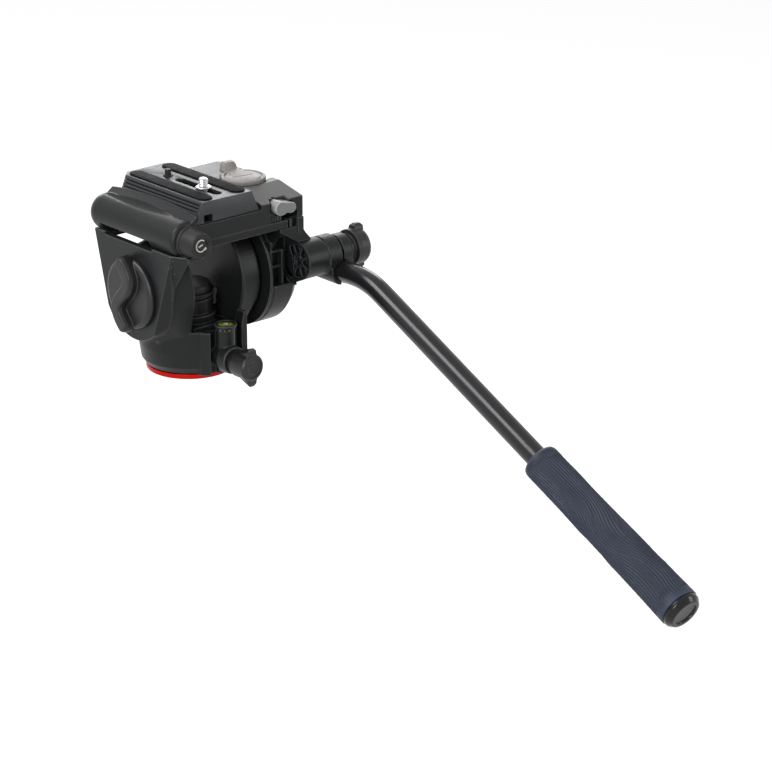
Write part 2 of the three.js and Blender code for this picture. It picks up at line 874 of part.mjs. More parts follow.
function buildPanLock() {
  const knob = new THREE.Group();
  knob.position.set(0, -lockBossRear - fit, lockBossHeight);
  panBody.add(knob);
  const end = -panKnobLength;
  const screwHole = rod(lockScrewRadius, -panKnobLength / 2, fit, 'y');
  const body = wingKnob([
    [0, end],
    [panKnobTipRadius - panKnobChamfer, end],
    [panKnobTipRadius, end + panKnobChamfer],
    [panKnobTipRadius, -panKnobBodyStart],
    [panKnobNeckRadius, -panKnobChamfer],
    [panKnobNeckRadius, 0],
    [0, 0],
  ], 'y', {
    reach: panKnobWingReach - panKnobWingTipThickness / 4,
    startReach: panKnobNeckRadius - panKnobWingTipThickness / 4,
    rootHalf: panKnobWingThickness / 2,
    tipHalf: panKnobWingTipThickness / 2,
    from: end + panKnobChamfer / 2,
    to: -panKnobChamfer,
    lean: panKnobWingLean,
  });
  addPiece(knob, 'pan_lock_knob', cut(body, screwHole), knobBlack);
  const screwEnd = lockBossRear - bucketBore - fit - lockPadLength;
  const screw = rod(lockScrewRadius - fit, -panKnobLength / 2 + fit, screwEnd - fit, 'y');
  addPiece(knob, 'pan_lock_screw', screw, steel);
}

// Yoke: the slab and the left leg in one casting
function leftLeg() {
  const innerPoints = ringFacingX(legInnerRadius, -legInner, 0, -legInnerDrop, roundSides / 2,
    Math.PI, Math.PI);
  innerPoints.push([-legInner, legFrontTop, legTop], [-legInner, -legNeckRear, legTop]);
  const outerPoints = ringFacingX(legOuterRadius, -legOuter, 0, 0, smallSides,
    Math.PI * legArcStartShare, Math.PI * legArcSweepShare);
  for (const [reach, height] of legRearEdgeShares) {
    outerPoints.push([-legOuter, -legRearTop * reach, legTop * height]);
  }
  outerPoints.push([-legOuter, legFrontTop, legTop], [-legOuter, -legRearTop, legTop]);
  const [edgeReachShare, edgeHeightShare] = legRearEdgeShares[0];
  const flare = hull([
    [-legInner, -legRearTopInner, legTop],
    [-legInner, -legFlareFootRear, legTop - legFlareDrop],
    [-legInner, -legFlareFront, legTop - legFlareDrop],
    [-legInner, -legFlareFront, legTop],
    [-legOuter, -legRearTop, legTop],
    [-legOuter, -legRearTop * edgeReachShare, legTop * edgeHeightShare],
    [-legOuter, -legFlareFront, legTop],
  ]);
  return join(hull([...innerPoints, ...outerPoints]), flare);
}

function yokeFrame() {
  const slab = block([-legInner, slabRight], [-slabRear, slabFront], [slabBottom, slabTop]);
  const clearance = tubeRadius + fit;
  const gussetBottom = tubeAxisHeight - clearance - gussetWall;
  const gussets = [[gussetStart, slabFront], [-slabRear, -gussetStart]].map((range) => block(
    [-legInner - overrun / 2, -gussetInner], range, [gussetBottom, slabBottom + overrun / 2]));
  const tubeSpace = join(
    rod(clearance, -receiverRear, tubeFront, 'y', [-tubeAxisX, 0, tubeAxisHeight], roundSides),
    rod(collarRadius + runningFit, -legRearTopInner - overrun, 0, 'y',
      [-tubeAxisX, 0, tubeAxisHeight], roundSides));
  const notch = block([-legOuter - overrun, -legInner + overrun / 2], [-notchRear, notchFront],
    [notchTop, slabTop + overrun]);
  let body = cut(join(slab, leftLeg(), ...gussets), tubeSpace, notch);
  body = cut(body, block([-legInner - overrun / 4, -gussetInner + overrun / 4],
    [-gussetStart, gussetStart], [0, slabTop + overrun]));
  body = cut(body, rod(tiltShaftRadius + fit, -legOuter - overrun, -cheekOuterLeft, 'x'));
  return cutYokeScrews(cut(body, slabGrooves()));
}

// The slab's rear right corner is grooved between short ribs, under the release button
function slabGrooves() {
  const span = recessRight - recessLeft;
  return join(...slabGrooveShares.map(([from, to]) => block(
    [recessLeft + span * from, recessLeft + span * to],
    [-slabRear - overrun, -slabRear + recessDepth / 3],
    [slabBottom - overrun, slabTop + overrun])));
}

function yokeScrewPlaces() {
  const receiver = receiverScrewX.map((x, i) => ({ name: `receiver_screw_${i + 1}`,
    x, y: receiverScrewY[i], up: true, length: receiverScrewLength }));
  const drum = drumScrewY.map((y, i) => ({ name: `drum_screw_${i + 1}`,
    x: drumScrewX, y, up: false, length: drumScrewLength }));
  return [...receiver, ...drum];
}

function cutYokeScrews(body, clearance = fit) {
  return yokeScrewPlaces().reduce((rest, place) => cut(rest, yokeScrew(place, clearance)), body);
}

function yokeScrew({ x, y, up, length }, clearance = 0) {
  const start = up ? slabBottom + fit : slabTop - fit;
  const way = up ? 1 : -1;
  const headEnd = start + way * (yokeScrewHeadHeight + clearance);
  const outside = start - way * (clearance > 0 ? overrun : 0);
  return lathe([
    [0, outside],
    [yokeScrewHeadRadius + clearance, outside],
    [yokeScrewHeadRadius + clearance, headEnd],
    [yokeScrewRadius + clearance, headEnd],
    [yokeScrewRadius + clearance, start + way * (length + clearance)],
    [0, start + way * (length + clearance)],
  ], 'z', [x, y, 0], smallSides / 2);
}

// Right drum: a cup that holds the counterbalance, with the bracket of the pan bar's arm
function hubPocket(index) {
  const half = Math.PI / hubSpokes;
  const inner = hubCoreRadius;
  const outer = armRadius - hubRimWidth;
  const middle = (Math.PI * 2 * index) / hubSpokes;
  const lean = (hubSpokeWidth / 2) / inner;
  const leanOuter = (hubSpokeWidth / 2) / outer;
  const points = [];
  for (const x of [armFace - overrun, armFace + hubPocketDepth]) {
    for (const [radius, spread] of [[inner, half - lean], [outer, half - leanOuter]]) {
      for (const side of [-1, 0, 1]) {
        const angle = middle + side * spread;
        points.push([x, -armRear + radius * Math.cos(angle), armHeight + radius * Math.sin(angle)]);
      }
    }
  }
  return hull(points);
}

// The open side of the bracket, between the drum's rim and the hub, with its short ribs
function hubRecess() {
  const far = drumRadius + overrun;
  return hull([-hubRecessBottom, hubRecessTop].flatMap((z) => [
    [recessInner, -recessInnerRear, z],
    [armFace, -recessOuterRear, z],
    [armFace, -far, z],
    [recessInner, -far, z],
  ]));
}

function hubRibs() {
  const level = hubRibHeights.map((z) => block([recessInner - fit, recessInner + hubRibReach],
    [-hubRibRear, -drumHollowRadius], [z, z + hubRibThickness]));
  const upright = block([hubUprightX, hubUprightX + hubRibThickness],
    [-hubRibRear, -drumHollowRadius], [-hubRecessBottom - fit, hubRibHeights[1]]);
  return [...level, upright];
}

function drumHousing() {
  const bossStart = drumFloor - drumBossLength;
  const cup = lathe([
    [drumHollowRadius, drumInner],
    [drumRadius, drumInner],
    [drumRadius, drumShoulder],
    [drumFaceRadius, drumOuter],
    [0, drumOuter],
    [0, drumShaftSeat + fit],
    [tiltShaftRadius + fit, drumShaftSeat + fit],
    [tiltShaftRadius + fit, bossStart],
    [drumBossRadius, bossStart],
    [drumBossRadius, drumFloor],
    [drumHollowRadius, drumFloor],
    [drumHollowRadius, drumInner],
  ], 'x', [0, 0, 0], wideSides);
  const arm = rod(armRadius, armFace, armEnd, 'x', [0, -armRear, armHeight], roundSides);
  const web = hull([armFace, drumOuter].flatMap((x) => [
    ...ringFacingX(armRadius, x, -armRear, armHeight),
    [x, -bracketRoot, bracketTop],
    [x, -bracketRoot, -bracketBottom],
  ]));
  const flareFoot = armHeight + armRadius;
  const flare = lugFlareShares.map(([out, up]) => [
    drumOuter + lugFlareWidth * out, flareFoot + (slabBottom - flareFoot) * up]);
  const lug = forward(polygon([
    [armFace, lugBottom],
    [drumOuter + lugFlareWidth, lugBottom],
    ...flare.reverse(),
    [lugLeft, slabBottom],
    [lugLeft, slabBottom - lugLeftDrop],
    [armFace, flareFoot + lugFootRise],
  ]), -slabRear, -slabRear + lugDepth);
  const topCut = block([drumInner - overrun, armEnd], [-drumRadius - overrun * 2, drumRadius],
    [slabBottom - fit, drumRadius + overrun]);
  const webSide = cut(web, block([armFace - overrun, drumFloor], [-armRear, 0],
    [-drumRadius, drumRadius]));
  let body = join(cut(cup, hubRecess()), ...hubRibs(), webSide, arm, lug);
  for (let i = 0; i < hubSpokes; i += 1) body = cut(body, hubPocket(i));
  body = cut(body, topCut,
    rod(armBoreRadius, armFace - overrun, armEnd + overrun, 'x', [0, -armRear, armHeight]));
  return cutYokeScrews(body);
}

function buildYoke() {
  addPiece(yoke, 'yoke_frame', yokeFrame(), castBlack);
  addPiece(yoke, 'right_drum_housing', drumHousing(), castBlack);
  for (const place of yokeScrewPlaces()) {
    addPiece(yoke, place.name, yokeScrew(place), steel);
  }
  const leftShaft = tubeRing(tiltShaftRadius, lockBoltRadius + fit, -legOuter + bushFlangeThickness,
    -tiltShaftEndLeft, 'x');
  addPiece(yoke, 'left_tilt_shaft', leftShaft, steel);
  const rightShaft = rod(tiltShaftRadius, tiltShaftEndRight, drumShaftSeat, 'x');
  addPiece(yoke, 'right_tilt_shaft', rightShaft, steel);
  const springStart = drumFloor - fit - springWireRadius - springPitch * springTurns;
  const spring = coil(springCoilRadius, springWireRadius, springPitch, springTurns, springStart, 'x');
  addPiece(yoke, 'counterbalance_spring', spring, steel);
  const dragCan = tubeRing(drumHollowRadius - fit, dragCanInnerRadius, dragCanStart, dragCanEnd, 'x',
    [0, 0, 0], roundSides);
  addPiece(yoke, 'tilt_drag_cartridge', dragCan, polymer);
}

// Tilt lock knob: a low disc with an S-shaped wing across it, and its bolt
function buildTiltLock() {
  const face = -legOuter - fit;
  const disc = lathe([
    [0, face],
    [tiltKnobRadius, face],
    [tiltKnobRadius, face - tiltKnobEdgeHeight],
    [tiltKnobRadius - tiltKnobEdgeHeight, face - tiltKnobDiscHeight],
    [0, face - tiltKnobDiscHeight],
  ], 'x', [0, 0, 0], roundSides);
  const stations = [];
  for (let i = 0; i <= tiltKnobWingSteps; i += 1) {
    const t = (2 * i) / tiltKnobWingSteps - 1;
    const sway = -tiltKnobWingSway * Math.sin(t * Math.PI);
    stations.push([sway, t * tiltKnobWingReach]);
  }
  const root = face - tiltKnobEdgeHeight;
  const crest = face - tiltKnobWingHeight;
  const shoulder = (root + crest * 2) / 3;
  let knob = disc;
  for (let i = 0; i < tiltKnobWingSteps; i += 1) {
    const points = [];
    for (const [y, z] of [stations[i], stations[i + 1]]) {
      points.push(...ringFacingX(tiltKnobWingHalfWidth, root, y, z, smallSides / 2));
      points.push(...ringFacingX(tiltKnobWingHalfWidth, shoulder, y, z, smallSides / 2));
      points.push(...ringFacingX(tiltKnobWingCrest, crest, y, z, smallSides / 2));
    }
    knob = join(knob, hull(points));
  }
  const seat = face - tiltKnobDiscHeight;
  knob = cut(knob, rod(lockBoltRadius + fit, seat, face + overrun, 'x'));
  addPiece(yoke, 'tilt_lock_knob', knob, knobBlack);
  const bolt = rod(lockBoltRadius, seat + fit, -tiltShaftEndLeft, 'x');
  addPiece(yoke, 'tilt_lock_bolt', bolt, steel);
}

// Receiver: the platform, the tube on its left and the lever housing on its right
function plateHalfAt(height) {
  const share = (height - receiverTop) / (plateTop - receiverTop);
  return plateBottomHalf + (plateTopHalf - plateBottomHalf) * share;
}

// The room that the sliding camera plate needs, with its clearance
function plateSpace() {
  return hull([-receiverRear - overrun, tubeFront + overrun].flatMap((y) => [-1, 1].flatMap(
    (side) => [
      [side * (plateBottomHalf + fit * 2), y, receiverTop],
      [side * (plateTopHalf + fit * 2), y, plateTop],
    ])));
}

function railPoints() {
  const stations = [-receiverRear, -receiverRear / 2, 0, receiverFront / 2, receiverFront];
  const points = [];
  for (const [i, share] of railShares.entries()) {
    const y = stations[i];
    const peak = receiverTop + railPeakHeight * share;
    const peakX = plateHalfAt(receiverTop + railPeakHeight) + fit + (1 - share) * railPeakHeight;
    points.push([-railOuterX, y, receiverTop - overrun]);
    points.push([-plateBottomHalf - fit * 2, y, receiverTop]);
    points.push([-peakX - fit, y, peak]);
    points.push([-peakX - fit * 4, y, peak]);
    points.push([-railOuterX, y, receiverTop + railOuterHeight * share]);
    points.push([-railOuterX - railOuterHeight / 2, y, receiverTop - overrun]);
  }
  return points;
}

// The top rises from the rear edge to a crown beside the lever, then falls gently to the front
function housingTopAt(y) {
  const [start, end, low, high] = y < -housingCrownRear
    ? [-receiverRear, -housingCrownRear, housingTopRear, housingCrown]
    : [-housingCrownRear, receiverFront, housingCrown, housingTopFront];
  return low + (high - low) * (y - start) / (end - start);
}

function leverHousing() {
  const bottom = slabTop + fit;
  const outline = (height, inset) => [
    [housingLeft, -receiverRear, height],
    [housingRight - housingCorner - inset, -receiverRear, height],
    [housingRight - inset, -receiverRear + housingCorner, height],
    [housingRight - inset, -housingCrownRear, height],
    [housingRight - inset, receiverFront - housingCorner, height],
    [housingRight - housingCorner - inset, receiverFront, height],
    [housingLeft, receiverFront, height],
    [housingLeft, -housingCrownRear, height],
  ];
  const top = outline(0, housingCorner / 4).map(([x, y]) => [x, y, housingTopAt(y)]);
  const shoulder = top.map(([x, y, z]) => [x + housingCorner / 4, y, z - housingCorner / 4]);
  return hull([...outline(bottom, 0), ...top, ...shoulder.filter(([x]) => x > leverX)]);
}

function tubeBody() {
  const round = tubeEndRound;
  const profile = [
    [0, -receiverRear],
    [tubeRadius - tubeRearChamfer, -receiverRear],
    [tubeRadius, -receiverRear + tubeRearChamfer],
  ];
  for (let i = 0; i <= tubeRoundSteps; i += 1) {
    const angle = (Math.PI / 2) * (i / tubeRoundSteps);
    profile.push([tubeRadius - round + round * Math.cos(angle),
      tubeFront - round + round * Math.sin(angle)]);
  }
  profile.push([0, tubeFront]);
  return lathe(profile, 'y', [-tubeAxisX, 0, tubeAxisHeight], roundSides);
}

function buttonOutline(clearance) {
  const shape = new THREE.Shape();
  const left = buttonX - buttonHalfLength + buttonRadius;
  const right = buttonX + buttonHalfLength - buttonNarrowRadius;
  shape.absarc(left, buttonHeightCentre, buttonRadius + clearance, Math.PI / 2, Math.PI * 1.5);
  shape.absarc(right, buttonHeightCentre - buttonNarrowDrop, buttonNarrowRadius + clearance,
    -Math.PI / 2, Math.PI / 2);
  return shape;
}

// The outline is drawn in X and Z, and runs forward from a face
function forward(outline, from, to) {
  const settings = { depth: to - from, bevelEnabled: false, curveSegments: smallSides / 2 };
  const geometry = new THREE.ExtrudeGeometry(outline, settings);
  geometry.rotateX(Math.PI / 2);
  return toSolid(moved(geometry, [0, to, 0]));
}

function receiver() {
  const bottom = slabTop + fit;
  const platform = block([-tubeAxisX, housingLeft + overrun], [-receiverRear, receiverFront],
    [bottom, receiverTop]);
  const scoop = new THREE.SphereGeometry(1, smallSides, smallSides / 2);
  scoop.scale(scoopHalfWidth, scoopHalfLength, scoopDepth);
  scoop.translate(-scoopAxisX, scoopForward, scoopAxisHeight);
  const slot = block([-tubeAxisX - tubeRadius, -tubeAxisX + tubeRadius],
    [-tubeSlotRear, tubeSlotFront], [tubeAxisHeight - tubeRadius - overrun, tubeSlotTop]);
  const underPlatform = block([-tubeAxisX + tubeRadius / 2, housingRight + overrun],
    [-receiverRear - overrun, receiverFront + overrun], [slabBottom - overrun, bottom]);
  let body = join(cut(tubeBody(), slot, plateSpace()), platform, hull(railPoints()), leverHousing());
  const jawPocket = block([housingLeft - overrun, jawOuter + jawTravel + fit],
    [-jawHalfLength - runningFit, jawHalfLength + runningFit],
    [receiverTop - fit, receiverTop + jawHeight + runningFit * 2]);
  const recess = block([recessLeft, recessRight], [-receiverRear - overrun, -receiverRear + recessDepth],
    [slabBottom - overrun, recessTop]);
  const patch = block([patchLeft, recessLeft + fit], [-receiverRear - overrun, -receiverRear + patchDepth],
    [slabBottom - overrun, recessTop]);
  body = cut(body, toSolid(scoop), underPlatform, jawPocket, recess, patch);
  body = join(cut(body, buttonHollow()), ...recessRibList());
  const buttonHole = forward(buttonOutline(fit), -receiverRear - overrun,
    -receiverRear + recessDepth + buttonDepth);
  body = cut(body, buttonHole);
  const leverSeat = rod(leverPinRadius + fit, receiverTop - overrun, housingCrown + overrun, 'z',
    [leverX, -leverRear, 0]);
  const selectorBore = rod(tubeBoreRadius, -receiverRear - overrun, selectorRodLength / 3, 'y',
    [-tubeAxisX, 0, tubeAxisHeight]);
  const pocketRadius = leverRadius + fit * 2;
  const leverClearance = lathe([
    [0, leverSeatHeight()],
    [pocketRadius, leverSeatHeight()],
    [pocketRadius + leverPocketFlare, housingCrown],
    [pocketRadius + leverPocketFlare, housingCrown + overrun],
    [0, housingCrown + overrun],
  ], 'z', [leverX, -leverRear, 0], roundSides);
  body = cut(body, leverSeat, selectorBore, leverClearance, leverNotch());
  return cutYokeScrews(body);
}

// The right wall is cut down beside the lever, so that its arm can swing out over it
function leverNotch() {
  const top = housingCrown + overrun;
  const lean = leverNotchLean * (top - leverSeatHeight()) / (housingCrown - leverSeatHeight());
  const left = leverX + leverRadius - leverNotchInset;
  return hull([left, housingRight + overrun].flatMap((x) => [
    [x, -leverNotchRear, leverSeatHeight()],
    [x, leverNotchFront, leverSeatHeight()],
    [x, -leverNotchRear - lean, top],
    [x, leverNotchFront + lean, top],
  ]));
}

function leverSeatHeight() {
  return receiverTop + leverSeatRise;
}

// A sloping hollow for the finger round the left part of the button, deepest at its open top
function buttonHollow() {
  const rise = housingTopRear - hollowBottom;
  const top = housingTopRear + overrun;
  const floor = -receiverRear + hollowDepth * (top - hollowBottom) / rise;
  return hull([
    [hollowLeft, -receiverRear, hollowBottom],
    [hollowLeft, -receiverRear - overrun, hollowBottom],
    [hollowRight, -receiverRear - overrun, hollowBottom],
    [hollowRight, -receiverRear, hollowBottom],
    [hollowLeft, -receiverRear, top],
    [hollowLeft, -receiverRear - overrun, top],
    [hollowRight, -receiverRear - overrun, top],
    [hollowRight, floor, top],
    [hollowFloorLeft, floor, top],
  ]);
}

// Thin ribs stand in the hollow above the button
function recessRibList() {
  const ribs = [];
  for (let i = 0; i < recessRibs; i += 1) {
    const x = hollowRight - recessRibWidth - (i + 1) * recessRibSpread / 2;
    const ribFront = -receiverRear + hollowDepth;
    ribs.push(block([x, x + recessRibWidth], [ribFront - hollowDepth / 2, ribFront + fit],
      [buttonHeightCentre, housingTopAt(ribFront - hollowDepth / 2) - recessRibWidth]));
  }
  return ribs;
}

function buildReceiver() {
  addPiece(yoke, 'receiver', receiver(), castBlack);

  const jawInner = (height) => plateHalfAt(height) + fit;
  const jawBottom = receiverTop + fit;
  const jawTop = jawBottom + jawHeight;
  const jawPoints = [];
  for (const y of [-jawHalfLength, jawHalfLength]) {
    jawPoints.push([jawInner(jawBottom), y, jawBottom], [jawInner(jawTop), y, jawTop]);
    jawPoints.push([jawOuter, y, jawBottom], [jawOuter, y, jawTop]);
  }
  addPiece(yoke, 'locking_jaw', hull(jawPoints), steel);
}

function buildDragSelector() {
  const selector = new THREE.Group();
  selector.position.set(-tubeAxisX, -receiverRear - fit, tubeAxisHeight);
  yoke.add(selector);
  const capEnd = -collarLength - selectorCapLength;
  const cap = lathe([
    [selectorRodRadius + fit, 0],
    [collarRadius, 0],
    [collarRadius, -collarLength],
    [selectorCapRadius, -collarLength],
    [selectorCapFaceRadius, capEnd],
    [selectorCapDishRadius, capEnd],
    [selectorCapDishRadius, capEnd + selectorCapDish],
    [0, capEnd + selectorCapDish],
    [0, capEnd + selectorCapDish * 4],
    [selectorRodRadius + fit, capEnd + selectorCapDish * 4],
    [selectorRodRadius + fit, 0],
  ], 'y', [0, 0, 0], roundSides);
  addPiece(selector, 'drag_selector_cap', cap, mouldedBlack);
  const rodStart = capEnd + selectorCapDish * 4 + fit;
  const selectorRod = rod(selectorRodRadius, rodStart, rodStart + selectorRodLength, 'y');
  addPiece(selector, 'drag_selector_rod', selectorRod, steel);
}

function buildLockLever() {
  const lever = new THREE.Group();
  lever.position.set(leverX, -leverRear, leverSeatHeight() + fit);
  lever.rotation.z = -leverArmAngle;
  yoke.add(lever);
  const disc = rod(leverRadius, 0, leverThickness, 'z', [0, 0, 0], roundSides);
  const groove = tubeRing(leverRingRadius, leverRingRadius - leverRingWidth,
    leverThickness - leverRingDepth, leverThickness + overrun, 'z', [0, 0, 0], roundSides);
  const arm = hull([leverThickness - leverArmThickness, leverThickness].flatMap((z) => [
    [-leverArmRootWidth / 2, 0, z],
    [leverArmRootWidth / 2, 0, z],
    [leverArmTipWidth / 2, leverArmLength, z],
    [-leverArmTipWidth / 2, leverArmLength, z],
  ]));
  const tab = hull([-leverArmTipWidth / 2, leverArmTipWidth / 2].flatMap((x) => [
    [x, leverArmLength - leverTabThickness * 2, leverThickness - leverArmThickness],
    [x, leverArmLength, leverThickness - leverArmThickness],
    [x, leverArmLength - leverTabThickness, leverTabTop],
    [x, leverArmLength, leverTabTop],
  ]));
  addPiece(lever, 'lock_lever', cut(join(disc, arm, tab), groove), leverGrey);
  const pin = rod(leverPinRadius, -leverPinLength, -fit, 'z');
  addPiece(lever, 'lever_pivot_pin', pin, steel);
}

function buildReleaseButton() {
  const front = -receiverRear + buttonDepth;
  const button = forward(buttonOutline(0), -receiverRear - buttonProud, front);
  addPiece(yoke, 'release_button', button, buttonGrey);
  const spring = coil(springButtonRadius, springButtonWire, springButtonPitch, springButtonTurns,
    front + fit + springButtonWire, 'y', [buttonX, 0, buttonHeightCentre]);
  addPiece(yoke, 'release_button_spring', spring, steel);
}

// Camera plate with its pads, the screw on its carriage and the anti-twist pin
function cameraPlateBody() {
  const bottom = receiverTop + fit;
  const bottomHalf = plateBottomHalf;
  const outline = (half, height) => [
    [-half, -plateRear, height],
    [half, -plateRear, height],
    [half, plateFront - plateRoundFront, height],
    [half - plateRoundFront, plateFront, height],
    [-half + plateRoundFront, plateFront, height],
    [-half, plateFront - plateRoundFront, height],
  ];
  let body = hull([...outline(bottomHalf, bottom), ...outline(plateTopHalf, plateTop)]);
  const grooveTop = plateTop - plateGrooveTopOffset;
  for (const side of [-1, 1]) {
    const inner = side * (plateTopHalf - plateGrooveDepth + plateGrooveTopOffset / 2);
    const outer = side * (plateBottomHalf + overrun);
    body = cut(body, block([Math.min(inner, outer), Math.max(inner, outer)],
      [-plateRear + plateRoundFront / 2, plateFront - plateRoundFront / 2],
      [grooveTop - plateGrooveHeight, grooveTop]));
  }
  for (const x of [-padLeftX, padRightX]) {
    body = cut(body, raised(stadium(x, -padLength / 2 - fit, padLength / 2 + fit,
      padWidth + fit * 2), plateTop - padRecess, plateTop + overrun));
  }
  body = cut(body,
    raised(stadium(0, -slotRear, slotFront, slotWidth), bottom - overrun, plateTop + overrun),
    raised(stadium(0, -slotRear - slotStep, slotFront + slotStep, slotStepWidth), bottom - overrun,
      plateTop - screwHeadHeight),
    rod(pinRadius + fit, bottom - overrun, plateTop + overrun, 'z', [0, pinForward, 0]),
    rod(pinFootRadius + fit, bottom - overrun, plateTop - padRecess - pinFootHeight, 'z',
      [0, pinForward, 0]),
    block([-squareHoleX - squareHoleWidth / 2, -squareHoleX + squareHoleWidth / 2],
      [-plateRear - overrun, -plateRear + squareHoleDepth],
      [bottom + squareHoleLift, bottom + squareHoleLift + squareHoleHeight]));
  return body;
}

function buildCameraPlate() {
  const bottom = receiverTop + fit;
  addPiece(plate, 'camera_plate', cameraPlateBody(), plateGrey);
  const padBottom = plateTop - padRecess + fit;
  [['rubber_pad_left', -padLeftX], ['rubber_pad_right', padRightX]].forEach(([name, x]) => {
    const pad = raised(stadium(x, -padLength / 2, padLength / 2, padWidth), padBottom,
      padBottom + padThickness);
    addPiece(plate, name, pad, padRubber);
  });

  // The carriage slides in the slot's step, and the screw turns in it
  const stepTop = plateTop - screwHeadHeight;
  const carriageTop = stepTop - fit;
  const carriageBottom = carriageTop - carriageThickness;
  const carriage = cut(raised(stadium(0, -screwRear - carriageLength / 2,
    -screwRear + carriageLength / 2, slotStepWidth - fit * 2), carriageBottom, carriageTop),
  rod(screwThreadRadius + fit, bottom, plateTop, 'z', [0, -screwRear, 0]));
  addPiece(plate, 'screw_carriage', carriage, steel);
  const screwHeadTop = carriageBottom - fit;
  const screw = new THREE.Group();
  screw.position.set(0, -screwRear, 0);
  plate.add(screw);
  const screwBody = lathe([
    [0, screwHeadTop - screwHeadHeight],
    [screwHeadRadius, screwHeadTop - screwHeadHeight],
    [screwHeadRadius, screwHeadTop],
    [screwThreadRadius, screwHeadTop],
    [screwThreadRadius, plateTop + screwProud],
    [0, plateTop + screwProud],
  ], 'z');
  addPiece(screw, 'camera_screw', screwBody, steel);

  const footTop = plateTop - padRecess - pinFootHeight - fit;
  const pin = lathe([
    [0, footTop - pinFootHeight],
    [pinFootRadius, footTop - pinFootHeight],
    [pinFootRadius, footTop],
    [pinRadius, footTop],
    [pinRadius, plateTop + pinProud],
    [0, plateTop + pinProud],
  ], 'z', [0, pinForward, 0]);
  addPiece(plate, 'anti_twist_pin', pin, mouldedBlack);
  const springTop = footTop - pinFootHeight - fit - pinSpringWire;
  const springBottom = springTop - pinSpringPitch * pinSpringTurns;
  const spring = coil(pinRadius, pinSpringWire, pinSpringPitch, pinSpringTurns, springBottom, 'z',
    [0, pinForward, 0]);
  addPiece(plate, 'pin_spring', spring, steel);
}

// Pan bar: the split clamp, the bent tube and the grip, measured from the clamp bolt
function clampHalf(side, radius, end) {
  const start = (side * clampGap) / 2;
  const far = end - clampSplit;
  const reach = side * Math.min(Math.abs(far), socketRadius);
  const ring = hull([...ringFacingX(radius, start, 0, 0), ...ringFacingX(radius, far, 0, 0)]);
  const neck = hull([
    ...ringFacingX(radius * neckShare, start, 0, 0),
    ...ringFacingX(radius * neckShare, reach, 0, 0),
    ...[-socketRear, socketFront].flatMap((y) => [
      [start, y, -barDrop - socketRadius],
      [reach / 2, y, -barDrop - socketRadius * neckShare],
      [reach, y, -barDrop],
    ]),
  ]);
  const bore = rod(barRadius + fit, -socketRear - overrun, socketFront + overrun, 'y',
    [0, 0, -barDrop], roundSides);
  return cut(join(ring, neck), bore, rod(boltRadius + fit, -clampSplit, clampSplit, 'x'));
}

// The bar's centre line: a level run, the bend, and the run down to the grip
class BarPath extends THREE.Curve {
  getPoint(t, target = new THREE.Vector3()) {
    const stage = t * (barBendSteps + 2);
    if (stage <= 1) {
      return target.set(0, THREE.MathUtils.lerp(barStart, -barStraight, stage), -barDrop);
    }
    if (stage <= barBendSteps + 1) {
      return bendPoint((barBendAngle * (stage - 1)) / barBendSteps, target);
    }
    const along = (stage - barBendSteps - 1) * (barRunToGrip + gripOverlap);
    const down = new THREE.Vector3(0, -Math.cos(barBendAngle), -Math.sin(barBendAngle));
    return bendPoint(barBendAngle, target).addScaledVector(down, along);
  }

  getPointAt(t, target) {
    return this.getPoint(t, target);
  }

  getTangentAt(t, target) {
    return this.getTangent(t, target);
  }
}

function bendPoint(angle, target = new THREE.Vector3()) {
  return target.set(0, -barStraight - barBendRadius * Math.sin(angle),
    -barDrop - barBendRadius * (1 - Math.cos(angle)));
}

function bentTube() {
  const section = new THREE.Shape();
  section.absarc(0, 0, barRadius, 0, Math.PI * 2);
  const hollow = new THREE.Path();
  hollow.absarc(0, 0, barRadius - barWall, 0, Math.PI * 2, true);
  section.holes.push(hollow);
  return toSolid(new THREE.ExtrudeGeometry(section, {
    steps: barBendSteps + 2,
    extrudePath: new BarPath(),
    bevelEnabled: false,
    curveSegments: smallSides / 2,
  }));
}

function buildPanBar() {
  addPiece(panBar, 'clamp_inner_half', clampHalf(-1, armRadius, armEnd + fit), castBlack);
  addPiece(panBar, 'clamp_outer_half', clampHalf(1, clampOuterRadius, clampOuterEnd), castBlack);
  addPiece(panBar, 'pan_bar', bentTube(), anodisedBlack);

  const gripStart = bendPoint(barBendAngle);
  barStraightRun.position.copy(gripStart);
  barStraightRun.rotation.x = barBendAngle;
  const near = -barRunToGrip;
  const far = near - gripLength;
  const bore = barRadius + fit;
  const boreEnd = near - gripOverlap - fit;
  const grip = lathe([
    [bore, near],
    [gripNoseRadius, near],
    [gripStartRadius, near - gripNoseLength],
    [gripEndRadius, far + gripNoseLength],
    [gripEndRadius, far],
    [gripCapPlugRadius + fit, far],
    [gripCapPlugRadius + fit, far + gripCapPlugLength + fit],
    [0, far + gripCapPlugLength + fit],
    [0, boreEnd],
    [bore, boreEnd],
    [bore, near],
  ], 'y', [0, 0, 0], roundSides);
  addPiece(barStraightRun, 'pan_bar_grip', grip, gripRubber);
  const capStart = far - fit;
  const cap = lathe([
    [0, capStart - gripCapLength],
    [gripCapFaceRadius, capStart - gripCapLength],
    [gripCapRadius, capStart - gripCapLength / 2],
    [gripCapRadius, capStart],
    [gripCapPlugRadius, capStart],
    [gripCapPlugRadius, far + gripCapPlugLength],
    [0, far + gripCapPlugLength],
  ], 'y', [0, 0, 0], roundSides);
  addPiece(barStraightRun, 'grip_end_cap', cap, gripCapBlack);
}

